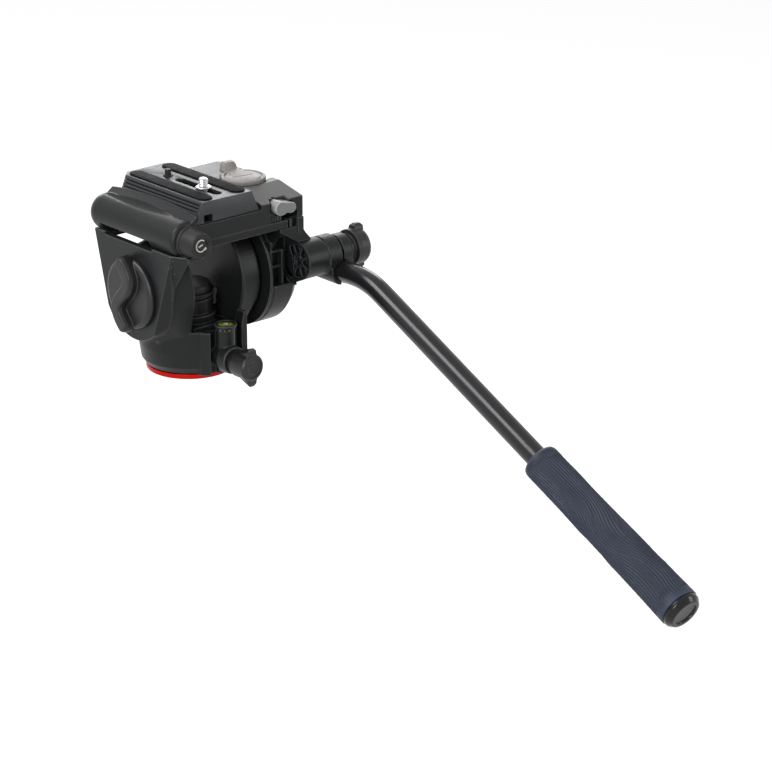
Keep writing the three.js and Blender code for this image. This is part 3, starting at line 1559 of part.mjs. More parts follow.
function buildBarKnob() {
  const knob = new THREE.Group();
  knob.position.set(clampOuterEnd + fit * 3, -armRear, armHeight);
  knob.rotation.x = THREE.MathUtils.degToRad(-3);
  yoke.add(knob);
  const body = wingKnob([
    [0, 0],
    [barKnobCoreRadius, 0],
    [barKnobCoreRadius, barKnobCollar],
    [barKnobRadius, barKnobCollar + fit],
    [barKnobRadius, barKnobLength - barKnobCollar],
    [barKnobCoreRadius, barKnobLength],
    [0, barKnobLength],
  ], 'x', {
    reach: barKnobWingReach,
    startReach: barKnobWingReach,
    rootHalf: barKnobWingThickness / 2,
    tipHalf: barKnobWingTip / 2,
    from: barKnobWingStart,
    to: barKnobLength - barKnobCollar / 2,
    lean: barKnobWingLean,
  });
  const boltSeat = barKnobLength - barKnobCollar * 2;
  addPiece(knob, 'pan_bar_knob', cut(body, rod(boltRadius + fit, -overrun, boltSeat, 'x')), knobBlack);
  const bolt = rod(boltRadius, boltStart - knob.position.x, boltSeat - fit, 'x');
  addPiece(knob, 'clamp_bolt', bolt, steel);
}

buildTripodBase();
buildPanBody();
buildPanLock();
buildYoke();
buildTiltLock();
buildReceiver();
buildDragSelector();
buildLockLever();
buildReleaseButton();
buildCameraPlate();
buildPanBar();
buildBarKnob();

export default head;
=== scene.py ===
"""Dresses a two-way fluid video head: cast, moulded, turned and rubber pieces over its CAD frame."""

import math

import bmesh
import bpy
from bpy.props import FloatProperty, FloatVectorProperty, IntProperty, PointerProperty
from mathutils import Matrix, Vector


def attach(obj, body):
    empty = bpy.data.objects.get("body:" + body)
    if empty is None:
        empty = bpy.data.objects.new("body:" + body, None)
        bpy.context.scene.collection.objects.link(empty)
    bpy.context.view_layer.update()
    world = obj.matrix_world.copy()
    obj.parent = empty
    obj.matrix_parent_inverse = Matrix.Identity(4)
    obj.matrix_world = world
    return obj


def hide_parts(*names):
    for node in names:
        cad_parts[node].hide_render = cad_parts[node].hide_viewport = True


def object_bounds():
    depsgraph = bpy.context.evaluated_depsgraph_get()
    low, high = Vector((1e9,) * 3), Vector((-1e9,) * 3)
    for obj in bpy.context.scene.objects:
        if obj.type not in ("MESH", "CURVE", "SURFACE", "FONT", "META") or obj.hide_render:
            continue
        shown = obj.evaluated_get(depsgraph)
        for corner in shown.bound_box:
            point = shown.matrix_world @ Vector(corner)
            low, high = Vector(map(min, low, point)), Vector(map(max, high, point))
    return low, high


bl_info = {
    "name": "Fluid Head Dresser",
    "version": (1, 0, 0),
    "blender": (4, 5, 0),
    "location": "3D View > Sidebar > Fluid Head",
    "description": "Builds the visible pieces of a two-way fluid video head",
    "category": "Object",
}

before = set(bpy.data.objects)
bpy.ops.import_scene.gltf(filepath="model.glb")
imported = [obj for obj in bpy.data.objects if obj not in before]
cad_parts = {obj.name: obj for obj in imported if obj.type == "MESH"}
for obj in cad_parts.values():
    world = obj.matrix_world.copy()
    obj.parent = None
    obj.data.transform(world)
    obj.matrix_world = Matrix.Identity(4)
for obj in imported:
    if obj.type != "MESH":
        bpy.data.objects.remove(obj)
cad_low, cad_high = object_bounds()

MM = 0.001
TAU = math.tau

# Sizes and places that several pieces share, in millimetres. From TUBE on they start at the tilt axis.
TILT = 62.0  # height of the tilt axis above the base
LOCK = (0, 0, 16)  # axis of the pan lock
LEVEL = (0, -39.5, 0)  # axis of the bubble level
TUBE = (-34, 0, 44)  # axis of the receiver's tube
HUB = (0, -44, 10)  # axis of the pan bar's hub and clamp
PIVOT = (46, -3, 0)  # axis of the plate's lever
DRUM_BORE = 28.5
SLAB = (35.2, 41)  # underside and top of the yoke's slab
RECEIVER_FOOT = 41.3
DOVETAIL = (52.4, 67)  # foot and top of the dovetail
DOVETAIL_HALF = (26.4, 20.3)  # half its width there
PADS = (("left", -13.3), ("right", 14))
RECEIVER_SCREWS = ((-12, 0), (12, 32), (12, -32))

# The pan bar: it lies in the clamp's socket, runs level, bends down and runs straight into the grip.
SOCKET = 89  # distance of the socket along the clamp's axis
SOCKET_DROP = -10.6  # height of the bar in the socket, from the clamp's axis
SOCKET_BORE = 7.7
BAR_END = 8
LEVEL_RUN = 33
BEND = math.radians(25.3)
BEND_RADIUS = 62
STRAIGHT_RUN = 297


# --- Shapes in millimetres: each is a list of corners and a list of faces ---


def laid(axis, across, other, along, centre):
    """A point given by its distance along an axis and two distances across it."""
    if axis == "x":
        point = (along, across, other)
    elif axis == "y":
        point = (across, along, other)
    else:
        point = (across, other, along)
    return tuple(p + c for p, c in zip(point, centre))


def lathe(profile, axis="z", centre=(0, 0, 0), sides=96, reach=None):
    """A body of revolution from (radius, distance along the axis) points.

    reach is a function of radius, distance and angle that gives the radius there, for threads and ribs.
    """
    closed = profile[0] == profile[-1]
    rows, corners, rings, faces = (profile[:-1] if closed else profile), [], [], []
    for radius, along in rows:
        count = sides if radius > 1e-6 else 1
        ring = [len(corners) + i for i in range(count)]
        for i in range(count):
            angle = TAU * i / sides
            out = reach(radius, along, angle) if reach and count > 1 else radius
            corners.append(laid(axis, out * math.cos(angle), out * math.sin(angle), along, centre))
        rings.append(ring * (sides // count))
    pairs = list(zip(rings, rings[1:])) + ([(rings[-1], rings[0])] if closed else [])
    for low, high in pairs:
        for i in range(sides):
            j = (i + 1) % sides
            face = list(dict.fromkeys((low[i], low[j], high[j], high[i])))
            if len(face) > 2:
                faces.append(face)
    return corners, faces


def softened(profile, radius, steps=4):
    """A profile with its corners rounded."""
    closed = profile[0] == profile[-1]
    points = [Vector(p) for p in (profile[:-1] if closed else profile)]
    soft = []
    for i, point in enumerate(points):
        back, ahead = points[i - 1] - point, points[(i + 1) % len(points)] - point
        if not closed and i in (0, len(points) - 1) or back.normalized().dot(ahead.normalized()) < -0.99:
            soft.append(tuple(point))
            continue
        room = min(radius, back.length * 0.45, ahead.length * 0.45)
        start, end = point + back.normalized() * room, point + ahead.normalized() * room
        for k in range(steps + 1):
            t = k / steps
            soft.append(tuple(start * (1 - t) ** 2 + point * 2 * t * (1 - t) + end * t ** 2))
    return soft + soft[:1] if closed else soft


def threaded(pitch, depth, low, high):
    """The radius of a screw thread cut between two distances along its axis."""
    def reach(radius, along, angle):
        if not low < along < high:
            return radius
        fade = min(1, (along - low) / pitch, (high - along) / pitch)
        turn = (along / pitch - angle / TAU) % 1
        return radius - depth * fade * (1 - abs(2 * turn - 1))
    return reach


def rod(radius, start, end, axis="z", centre=(0, 0, 0), sides=64):
    low, high = min(start, end), max(start, end)
    return lathe([(0, low), (radius, low), (radius, high), (0, high)], axis, centre, sides)


def ring(outer, inner, start, end, axis="z", centre=(0, 0, 0), sides=96):
    profile = [(inner, start), (outer, start), (outer, end), (inner, end), (inner, start)]
    return lathe(profile, axis, centre, sides)


def block(xs, ys, zs):
    corners = [(x, y, z) for x in xs for y in ys for z in zs]
    faces = [(0, 1, 3, 2), (4, 6, 7, 5), (0, 4, 5, 1), (2, 3, 7, 6), (0, 2, 6, 4), (1, 5, 7, 3)]
    return corners, faces


def hull(points):
    """The tightest skin round a set of points."""
    shell = bmesh.new()
    for point in points:
        shell.verts.new(point)
    made = bmesh.ops.convex_hull(shell, input=shell.verts, use_existing_faces=False)
    loose = {g for g in made["geom_interior"] + made["geom_unused"] if isinstance(g, bmesh.types.BMVert)}
    bmesh.ops.delete(shell, geom=list(loose), context="VERTS")
    shell.verts.index_update()
    corners = [tuple(v.co) for v in shell.verts]
    faces = [[v.index for v in f.verts] for f in shell.faces]
    shell.free()
    return corners, faces


def prism(outline, start, end, axis="z"):
    """An outline raised along an axis. It is drawn in X and Y, X and Z, or Y and Z."""
    count = len(outline)
    corners = [laid(axis, a, b, along, (0, 0, 0)) for along in (start, end) for a, b in outline]
    faces = [list(range(count)), list(range(2 * count - 1, count - 1, -1))]
    for i in range(count):
        j = (i + 1) % count
        faces.append((i, i + count, j + count, j))
    return corners, faces


def circle_x(radius, x, y=0.0, z=TILT, steps=72, start=0.0, sweep=TAU):
    """Points of an arc that faces X."""
    return [(x, y + radius * math.cos(start + sweep * i / steps),
             z + radius * math.sin(start + sweep * i / steps)) for i in range(steps + 1)]


def arc(radius, centre, start, end, steps=16):
    """Points of a flat arc, its angles in degrees."""
    return [(centre[0] + radius * math.cos(math.radians(start + (end - start) * i / steps)),
             centre[1] + radius * math.sin(math.radians(start + (end - start) * i / steps)))
            for i in range(steps + 1)]


def stadium(x, low, high, width):
    """A strip with round ends, its long axis along Y."""
    radius = width / 2
    return arc(radius, (x, high - radius), 0, 180) + arc(radius, (x, low + radius), 180, 360)


def swept(path, radius, sides=64, bore=0.0):
    """A round bar or tube along points, its ends cut square."""
    corners, faces, rings = [], [], []
    radii = [radius, bore] if bore else [radius]
    for shell in radii:
        for i, point in enumerate(path):
            ahead = path[min(i + 1, len(path) - 1)] - path[max(i - 1, 0)]
            ahead.normalize()
            side = Vector((1, 0, 0))
            up = ahead.cross(side).normalized()
            side = up.cross(ahead).normalized()
            rings.append([len(corners) + k for k in range(sides)])
            for k in range(sides):
                angle = TAU * k / sides
                corners.append(tuple(point + side * shell * math.cos(angle) + up * shell * math.sin(angle)))
    count = len(path)
    for shell in range(len(radii)):
        for i in range(count - 1):
            low, high = rings[shell * count + i], rings[shell * count + i + 1]
            for k in range(sides):
                faces.append((low[k], low[(k + 1) % sides], high[(k + 1) % sides], high[k]))
    for end in (0, count - 1):
        if bore:
            out, inner = rings[end], rings[count + end]
            for k in range(sides):
                faces.append((out[k], out[(k + 1) % sides], inner[(k + 1) % sides], inner[k]))
        else:
            faces.append(list(rings[end]))
    return corners, faces


def at(x, y, z, axis="X", degrees=0.0):
    """A place in millimetres, turned about one axis."""
    return Matrix.Translation((x, y, z)) @ Matrix.Rotation(math.radians(degrees), 4, axis)


ON_AXIS = at(0, 0, TILT)  # the place of what is drawn from the tilt axis


def placed(shape, place):
    return [tuple(place @ Vector(c)) for c in shape[0]], shape[1]


# --- Shapes into Blender pieces ---


def mesh_of(name, shape):
    mesh = bpy.data.meshes.new(name)
    mesh.from_pydata([Vector(c) * MM for c in shape[0]], [], shape[1])
    work = bmesh.new()
    work.from_mesh(mesh)
    bmesh.ops.remove_doubles(work, verts=work.verts, dist=1e-7)
    bmesh.ops.recalc_face_normals(work, faces=work.faces)
    work.to_mesh(mesh)
    work.free()
    return mesh


def added(name, mesh):
    piece = bpy.data.objects.new(name, mesh)
    bpy.context.scene.collection.objects.link(piece)
    return piece


def shaped(name, shape):
    """A piece made of one shape."""
    return added(name, mesh_of(name, shape))


def settle(piece):
    """Turns a piece's modifiers into its mesh."""
    bpy.context.view_layer.update()
    seen = piece.evaluated_get(bpy.context.evaluated_depsgraph_get())
    mesh = bpy.data.meshes.new_from_object(seen)
    old, name = piece.data, piece.data.name
    piece.modifiers.clear()
    piece.data = mesh
    bpy.data.meshes.remove(old)
    mesh.name = name
    return piece


def solid(name, steps, place=None):
    """Joins and cuts shapes in order. Each step is ("+", shape) or ("-", shape)."""
    piece = shaped(name, steps[0][1])
    tools = []
    for sign, shape in steps[1:]:
        tool = shaped(name + "_tool", shape)
        tools.append(tool)
        boolean = piece.modifiers.new("boolean", "BOOLEAN")
        boolean.operation = "UNION" if sign == "+" else "DIFFERENCE"
        boolean.solver = "MANIFOLD"
        boolean.object = tool
    settle(piece)
    for tool in tools:
        mesh = tool.data
        bpy.data.objects.remove(tool)
        bpy.data.meshes.remove(mesh)
    if place is not None:
        piece.data.transform(Matrix.Scale(MM, 4) @ place @ Matrix.Scale(1 / MM, 4))
    return piece


def cast(piece, grain=0.5, rounds=5, keep=0.35):
    """Melts a piece's edges, as a mould does: a fine skin, smoothed, then thinned where it is flat."""
    skin = piece.modifiers.new("skin", "REMESH")
    skin.mode = "VOXEL"
    skin.voxel_size = grain * MM
    soft = piece.modifiers.new("rounds", "SMOOTH")
    soft.factor = 0.5
    soft.iterations = rounds
    if keep < 1:
        thin = piece.modifiers.new("thin", "DECIMATE")
        thin.ratio = keep
    settle(piece)
    piece.data.shade_smooth()
    return piece


def machined(piece, edge=0.25, angle=30, steps=2):
    """Breaks a piece's sharp edges by a small radius."""
    if edge:
        flat = piece.modifiers.new("flat", "DECIMATE")
        flat.decimate_type = "DISSOLVE"
        flat.angle_limit = math.radians(0.5)
        bevel = piece.modifiers.new("edge", "BEVEL")
        bevel.width = edge * MM
        bevel.segments = steps
        bevel.limit_method = "ANGLE"
        bevel.angle_limit = math.radians(angle)
        bevel.use_clamp_overlap = True
        settle(piece)
    work = bmesh.new()
    work.from_mesh(piece.data)
    for face in work.faces:
        face.smooth = True
    for edge in work.edges:
        edge.smooth = edge.calc_face_angle(math.pi) < math.radians(angle)
    work.to_mesh(piece.data)
    work.free()
    return piece


def fitted(piece, slot, body, *nodes):
    """Gives a piece its finish, the body it rides on and the nodes it stands for."""
    piece.data.materials.clear()
    piece.data.materials.append(finish(slot))
    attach(piece, body)
    if nodes:
        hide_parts(*nodes)
    return piece


# --- Finishes ---


def linear(code):
    """The linear colour of an sRGB hex value."""
    parts = [int(code[i:i + 2], 16) / 255 for i in (1, 3, 5)]
    return tuple(p / 12.92 if p <= 0.04045 else ((p + 0.055) / 1.055) ** 2.4 for p in parts)


def grains(millimetres):
    """The scale that gives a pattern this size on a surface measured in metres."""
    return 1000 / millimetres


def add(tree, kind, values=None, links=None):
    """Adds a node with its settings and links. A name that is no socket is a setting of the node."""
    node = tree.nodes.new(kind)
    for name, value in (values or {}).items():
        if isinstance(name, int) or name in node.inputs:
            node.inputs[name].default_value = value
        else:
            setattr(node, name, value)
    for name, source in (links or {}).items():
        tree.links.new(source, node.inputs[name])
    return node


def started(name):
    """An empty material with its shader, and the object's own coordinates in metres."""
    material = bpy.data.materials.new(name)
    material.use_nodes = True
    tree = material.node_tree
    tree.nodes.clear()
    shader = add(tree, "ShaderNodeBsdfPrincipled")
    out = add(tree, "ShaderNodeOutputMaterial")
    tree.links.new(shader.outputs["BSDF"], out.inputs["Surface"])
    spot = add(tree, "ShaderNodeTexCoord").outputs["Object"]
    return material, tree, shader, spot


def shades(colour, low, high):
    """A colour made darker and lighter."""
    return [tuple(min(1, c * share) for c in colour[:3]) + (1,) for share in (low, high)]


def mottled(tree, shader, spot, colour, size, low=0.9, high=1.1, detail=3.0):
    """Varies the base colour in soft patches, as handling and dust do."""
    cloud = add(tree, "ShaderNodeTexNoise", {"Scale": grains(size), "Detail": detail}, {"Vector": spot})
    dark, light = shades(colour, low, high)
    tone = add(tree, "ShaderNodeMix", {"data_type": "RGBA", 6: dark, 7: light}, {0: cloud.outputs["Fac"]})
    tree.links.new(tone.outputs[2], shader.inputs["Base Color"])
    return cloud, tone


def ranged(tree, source, low, high, start=0.3, end=0.7):
    """Takes a pattern's middle range to a range of values."""
    values = {"From Min": start, "From Max": end, "To Min": low, "To Max": high}
    return add(tree, "ShaderNodeMapRange", values, {"Value": source}).outputs["Result"]


def textured(tree, shader, spot, size, depth, strength=0.5, detail=2.0):
    """Raises a fine grain. Size and depth are in millimetres."""
    grain = add(tree, "ShaderNodeTexNoise", {"Scale": grains(size), "Detail": detail}, {"Vector": spot})
    bump = add(tree, "ShaderNodeBump", {"Strength": strength, "Distance": depth * MM},
               {"Height": grain.outputs["Fac"]})
    tree.links.new(bump.outputs["Normal"], shader.inputs["Normal"])
    return grain, bump


def edge_wear_and_highlight(tree, shader, tone, light, share=0.6, start=0.507, end=0.545):
    """Lightens the proud edges, partly as wear where paint and dye rub thin and partly as a painted highlight
    along them: none at start, the whole share at end.
    """
    edge = add(tree, "ShaderNodeNewGeometry").outputs["Pointiness"]
    mask = ranged(tree, edge, 0.0, share, start, end)
    # The lighter colour on the edges is part wear, part painted highlight.
    wear_and_highlight = add(tree, "ShaderNodeMix", {"data_type": "RGBA", 7: light}, {0: mask, 6: tone.outputs[2]})
    tree.links.new(wear_and_highlight.outputs[2], shader.inputs["Base Color"])


def powder_coat(name, colour):
    """Die-cast alloy under a black powder coat: satin, with a fine orange peel, and edges painted lighter,
    partly as rubbed paint and partly as painted highlight.
    """
    material, tree, shader, spot = started(name)
    shader.inputs["IOR"].default_value = 1.5
    shader.inputs["Specular IOR Level"].default_value = 0.2
    cloud, tone = mottled(tree, shader, spot, colour, 22, 0.93, 1.08)
    # Real orange peel is about 0.4 mm across. It is drawn at 0.8 mm, so that it shows.
    textured(tree, shader, spot, 0.8, 0.02, 0.45)
    # The edges are lightened to seven times the base colour: partly rubbed paint, partly a painted highlight
    # on the rims.
    edge_wear_and_highlight(tree, shader, tone, (*[min(1, c * 7) for c in colour[:3]], 1), 0.75)
    tree.links.new(ranged(tree, cloud.outputs["Fac"], 0.34, 0.42), shader.inputs["Roughness"])
    return material


def moulded_nylon(name, colour):
    """Glass-filled nylon, moulded in a spark-eroded tool: a dull, fine, even grain."""
    material, tree, shader, spot = started(name)
    shader.inputs["IOR"].default_value = 1.53
    shader.inputs["Specular IOR Level"].default_value = 0.32
    cloud, tone = mottled(tree, shader, spot, colour, 9, 0.92, 1.08)
    textured(tree, shader, spot, 0.6, 0.02, 0.5)
    tree.links.new(ranged(tree, cloud.outputs["Fac"], 0.5, 0.6), shader.inputs["Roughness"])
    return material


def moulded_abs(name, colour):
    """ABS from a lightly textured tool: a soft sheen that follows every curve."""
    material, tree, shader, spot = started(name)
    shader.inputs["IOR"].default_value = 1.54
    shader.inputs["Specular IOR Level"].default_value = 0.35
    cloud, tone = mottled(tree, shader, spot, colour, 12, 0.92, 1.08)
    textured(tree, shader, spot, 0.7, 0.015, 0.35)
    # Proud edges are lightened: partly wear, partly a painted highlight along the rims.
    edge_wear_and_highlight(tree, shader, tone, (*[min(1, c * 3) for c in colour[:3]], 1), 0.5)
    tree.links.new(ranged(tree, cloud.outputs["Fac"], 0.36, 0.46), shader.inputs["Roughness"])
    return material


def turned_anodised(name, colour, gloss, metal, line=0.5):
    """Turned aluminium, dyed and anodised: a clear metallic colour over fine tool lines round it."""
    material, tree, shader, spot = started(name)
    shader.inputs["Metallic"].default_value = metal
    cloud, tone = mottled(tree, shader, spot, colour, 30, 0.94, 1.06)
    # A lathe leaves lines about 0.1 mm apart. They are drawn wider, so that they show.
    lines = add(tree, "ShaderNodeTexWave", {"wave_type": "BANDS", "bands_direction": "Z",
                "Scale": grains(line) / 20, "Distortion": 0.6, "Detail": 2.0}, {"Vector": spot})
    bump = add(tree, "ShaderNodeBump", {"Strength": 0.12, "Distance": 0.01 * MM},
               {"Height": lines.outputs["Fac"]})
    tree.links.new(bump.outputs["Normal"], shader.inputs["Normal"])
    tree.links.new(ranged(tree, cloud.outputs["Fac"], gloss, gloss + 0.06), shader.inputs["Roughness"])
    return material


def blasted_anodised(name, colour):
    """Bead-blasted aluminium, anodised grey: a cool satin that is lighter where it faces the light."""
    material, tree, shader, spot = started(name)
    shader.inputs["Metallic"].default_value = 0.75
    cloud, tone = mottled(tree, shader, spot, colour, 16, 0.94, 1.06)
    # Beads leave pits near 0.1 mm. They are drawn at 0.5 mm, so that they show.
    textured(tree, shader, spot, 0.5, 0.008, 0.35)
    # Proud edges are lightened: partly wear, partly a painted highlight.
    edge_wear_and_highlight(tree, shader, tone, (*[min(1, c * 1.8) for c in colour[:3]], 1), 0.5)
    tree.links.new(ranged(tree, cloud.outputs["Fac"], 0.4, 0.48), shader.inputs["Roughness"])
    return material


def nitrile_rubber(name, colour):
    """Nitrile rubber, pressed in a matt mould: dull, with dust in its pores."""
    material, tree, shader, spot = started(name)
    shader.inputs["IOR"].default_value = 1.52
    shader.inputs["Specular IOR Level"].default_value = 0.1
    cloud, tone = mottled(tree, shader, spot, colour, 5, 0.88, 1.12, 5)
    textured(tree, shader, spot, 0.55, 0.03, 0.6)
    tree.links.new(ranged(tree, cloud.outputs["Fac"], 0.72, 0.86), shader.inputs["Roughness"])
    return material


def ribbed_elastomer(name, colour):
    """Thermoplastic elastomer, moulded over the bar: slate blue, soft, its ribs painted lighter, partly as a
    painted highlight and partly as polish from hands.
    """
    material, tree, shader, spot = started(name)
    shader.inputs["IOR"].default_value = 1.5
    shader.inputs["Specular IOR Level"].default_value = 0.3
    cloud, tone = mottled(tree, shader, spot, colour, 14, 0.94, 1.08)
    textured(tree, shader, spot, 0.5, 0.015, 0.3)
    # The rib crests are painted lighter: a painted highlight along them, with some wear from hands.
    edge_wear_and_highlight(tree, shader, tone, (*[min(1, c * 2.6 + 0.012) for c in colour[:3]], 1), 0.85, 0.51, 0.555)
    tree.links.new(ranged(tree, cloud.outputs["Fac"], 0.46, 0.58), shader.inputs["Roughness"])
    return material


def polished_cap(name, colour):
    """Gloss ABS from a polished tool: a near mirror, with faint hairline scratches."""
    material, tree, shader, spot = started(name)
    shader.inputs["IOR"].default_value = 1.54
    shader.inputs["Specular IOR Level"].default_value = 0.3
    mottled(tree, shader, spot, colour, 12, 0.95, 1.05)
    haze = add(tree, "ShaderNodeTexNoise", {"Scale": grains(1.5), "Detail": 6.0, "Distortion": 2.0},
               {"Vector": spot})
    tree.links.new(ranged(tree, haze.outputs["Fac"], 0.12, 0.24), shader.inputs["Roughness"])
    return material


def flecked_coat(name, colour):
    """Zinc lever under a hammered grey stove enamel: warm, with dark and light flecks."""
    material, tree, shader, spot = started(name)
    shader.inputs["IOR"].default_value = 1.5
    # The flecks are about 0.5 mm across.
    fleck = add(tree, "ShaderNodeTexNoise", {"Scale": grains(0.9), "Detail": 4.0, "Roughness": 0.7},
                {"Vector": spot})
    dark, light = shades(colour, 0.72, 1.26)
    mask = ranged(tree, fleck.outputs["Fac"], 0, 1, 0.36, 0.64)
    tone = add(tree, "ShaderNodeMix", {"data_type": "RGBA", 6: dark, 7: light}, {0: mask})
    tree.links.new(tone.outputs[2], shader.inputs["Base Color"])
    bump = add(tree, "ShaderNodeBump", {"Strength": 0.4, "Distance": 0.02 * MM},
               {"Height": fleck.outputs["Fac"]})
    tree.links.new(bump.outputs["Normal"], shader.inputs["Normal"])
    shader.inputs["Roughness"].default_value = 0.5
    return material


def plated_steel(name, colour):
    """Steel, turned and chrome plated: bright, with fine lines and a little haze."""
    material, tree, shader, spot = started(name)
    shader.inputs["Metallic"].default_value = 1.0
    mottled(tree, shader, spot, colour, 6, 0.94, 1.04)
    haze = add(tree, "ShaderNodeTexNoise", {"Scale": grains(1.2), "Detail": 5.0}, {"Vector": spot})
    tree.links.new(ranged(tree, haze.outputs["Fac"], 0.16, 0.3), shader.inputs["Roughness"])
    return material


def drawn_brass(name, colour):
    """Free-cutting brass: warm, with tool lines and a light brown bloom."""
    material, tree, shader, spot = started(name)
    shader.inputs["Metallic"].default_value = 1.0
    cloud, tone = mottled(tree, shader, spot, colour, 4, 0.8, 1.05)
    textured(tree, shader, spot, 0.4, 0.005, 0.3)
    tree.links.new(ranged(tree, cloud.outputs["Fac"], 0.28, 0.42), shader.inputs["Roughness"])
    return material


def natural_acetal(name, colour):
    """Natural acetal: a milky bearing plastic with a waxy sheen."""
    material, tree, shader, spot = started(name)
    shader.inputs["IOR"].default_value = 1.48
    shader.inputs["Subsurface Weight"].default_value = 0.1
    shader.inputs["Subsurface Scale"].default_value = 1.5 * MM
    mottled(tree, shader, spot, colour, 8, 0.96, 1.03)
    textured(tree, shader, spot, 0.5, 0.01, 0.3)
    shader.inputs["Roughness"].default_value = 0.38
    return material


def level_spirit(name, colour):
    """Tinted spirit in a clear acrylic vial: a bright, wet, yellow green, deeper towards its edge."""
    material, tree, shader, spot = started(name)
    shader.inputs["IOR"].default_value = 1.49
    shader.inputs["Roughness"].default_value = 0.06
    shader.inputs["Coat Weight"].default_value = 1.0
    shader.inputs["Coat Roughness"].default_value = 0.03
    mottled(tree, shader, spot, colour, 5, 0.85, 1.1)
    return material


FINISHES = {
    "cast_black": ("Powder-coated die casting", powder_coat, ()),
    "moulded_black": ("Moulded glass-filled nylon", moulded_nylon, ()),
    "knob_black": ("Moulded ABS", moulded_abs, ()),
    "anodised_red": ("Turned red anodised aluminium", turned_anodised, (0.3, 0.85)),
    "anodised_black": ("Drawn black anodised aluminium", turned_anodised, (0.2, 0.4)),
    "plate_grey": ("Blasted grey anodised aluminium", blasted_anodised, ()),
    "pad_rubber": ("Nitrile rubber", nitrile_rubber, ()),
    "grip_rubber": ("Ribbed thermoplastic elastomer", ribbed_elastomer, ()),
    "grip_cap_black": ("Polished ABS", polished_cap, ()),
    "lever_grey": ("Hammered stove enamel", flecked_coat, ()),
    "button_grey": ("Moulded grey ABS", moulded_abs, ()),
    "steel": ("Chrome-plated steel", plated_steel, ()),
    "brass": ("Free-cutting brass", drawn_brass, ()),
    "polymer": ("Natural acetal", natural_acetal, ()),
    "level_liquid": ("Tinted level spirit", level_spirit, ()),
}


def finish(slot):
    """The material of a slot, made the first time that it is asked for."""
    name, make, settings = FINISHES[slot]
    made = bpy.data.materials.get(name)
    return made or make(name, getattr(bpy.context.scene.fluid_head_finishes, slot), *settings)


# --- Settings ---


def tint(name, code, about):
    return FloatVectorProperty(name=name, description=about, subtype="COLOR", size=3, min=0, max=1,
                               default=linear(code))


def length(name, millimetres, about):
    return FloatProperty(name=name, description=about, default=millimetres * MM, min=0,
                         unit="LENGTH", precision=5)


class HeadFinishes(bpy.types.PropertyGroup):
    """Base colours of the head's finishes"""

    cast_black: tint("Castings", "#1e1f20", "Powder coat of the housings, yoke and clamp")
    moulded_black: tint("Mouldings", "#131315", "Turret cap and selector")
    knob_black: tint("Knobs", "#151517", "Wing knobs and the tilt lock")
    anodised_red: tint("Base ring", "#b00e05", "Dyed ring at the foot")
    anodised_black: tint("Bar", "#232325", "Tube of the pan bar")
    plate_grey: tint("Plate", "#323335", "Sliding camera plate")
    pad_rubber: tint("Pads", "#0f0f11", "Rubber pads on the plate")
    grip_rubber: tint("Grip", "#252b39", "Soft grip of the pan bar")
    grip_cap_black: tint("Grip cap", "#0b0b0d", "Gloss cap at the grip's end")
    lever_grey: tint("Lever", "#8c8784", "Lock lever of the plate")
    button_grey: tint("Button", "#8c8c8c", "Release button of the plate")
    steel: tint("Steel", "#c4c4c6", "Screws, shafts and springs")
    brass: tint("Brass", "#b08d3c", "Bushes and the lock's shoe")
    polymer: tint("Acetal", "#e6e4da", "Drag cartridges")
    level_liquid: tint("Level", "#d4ee1c", "Spirit of the bubble level")


class HeadSizes(bpy.types.PropertyGroup):
    """Sizes that shape the detail of the head"""

    casting_grain: length("Casting skin", 0.5, "Size of the skin's cells on the large castings")
    knob_grain: length("Knob skin", 0.32, "Size of the skin's cells on knobs and small castings")
    edge: length("Machined edge", 0.25, "Width of the broken edge on machined pieces")
    rib_pitch: length("Grip rib pitch", 1.9, "Distance between the grip's ribs")
    rib_depth: length("Grip rib depth", 0.55, "Height of the grip's ribs")
    terrace_depth: length("Grip terrace depth", 0.5, "Height of the steps that sway along the grip")
    screw_pitch: length("Camera screw pitch", 1.27, "Pitch of a quarter inch camera thread")
    base_pitch: length("Tripod thread pitch", 1.5875, "Pitch of a three eighths inch tripod thread")
    turned_sides: IntProperty(name="Turned sides", description="Sides of the turned pieces",
                              default=128, min=24, max=256)


class StageSettings(bpy.types.PropertyGroup):
    """The floor, the lamps and the camera"""

    floor_gap: length("Floor gap", 8.5, "Distance from the lowest point of the pan bar to the floor")
    floor_colour: tint("Floor", "#a4a4a4", "Paint of the floor")
    azimuth: FloatProperty(name="Azimuth", description="Turn of the camera round the head",
                           default=math.radians(-41), subtype="ANGLE")
    elevation: FloatProperty(name="Elevation", description="Height angle of the camera",
                             default=math.radians(20.6), subtype="ANGLE")
    camera_place: FloatVectorProperty(name="Camera", description="Place of the camera", size=3,
                                      default=(-1.2367, -1.6249, 0.7501), subtype="TRANSLATION",
                                      unit="LENGTH")
    lens: FloatProperty(name="Lens", description="Focal length on a 36 mm sensor", default=149.2,
                        min=1, subtype="DISTANCE_CAMERA")


def sizes():
    return bpy.context.scene.fluid_head_sizes


def moulded(piece, keep=0.35, rounds=5):
    """The skin of a knob or another small casting."""
    return cast(piece, sizes().knob_grain / MM, rounds, keep)


# --- Pieces ---


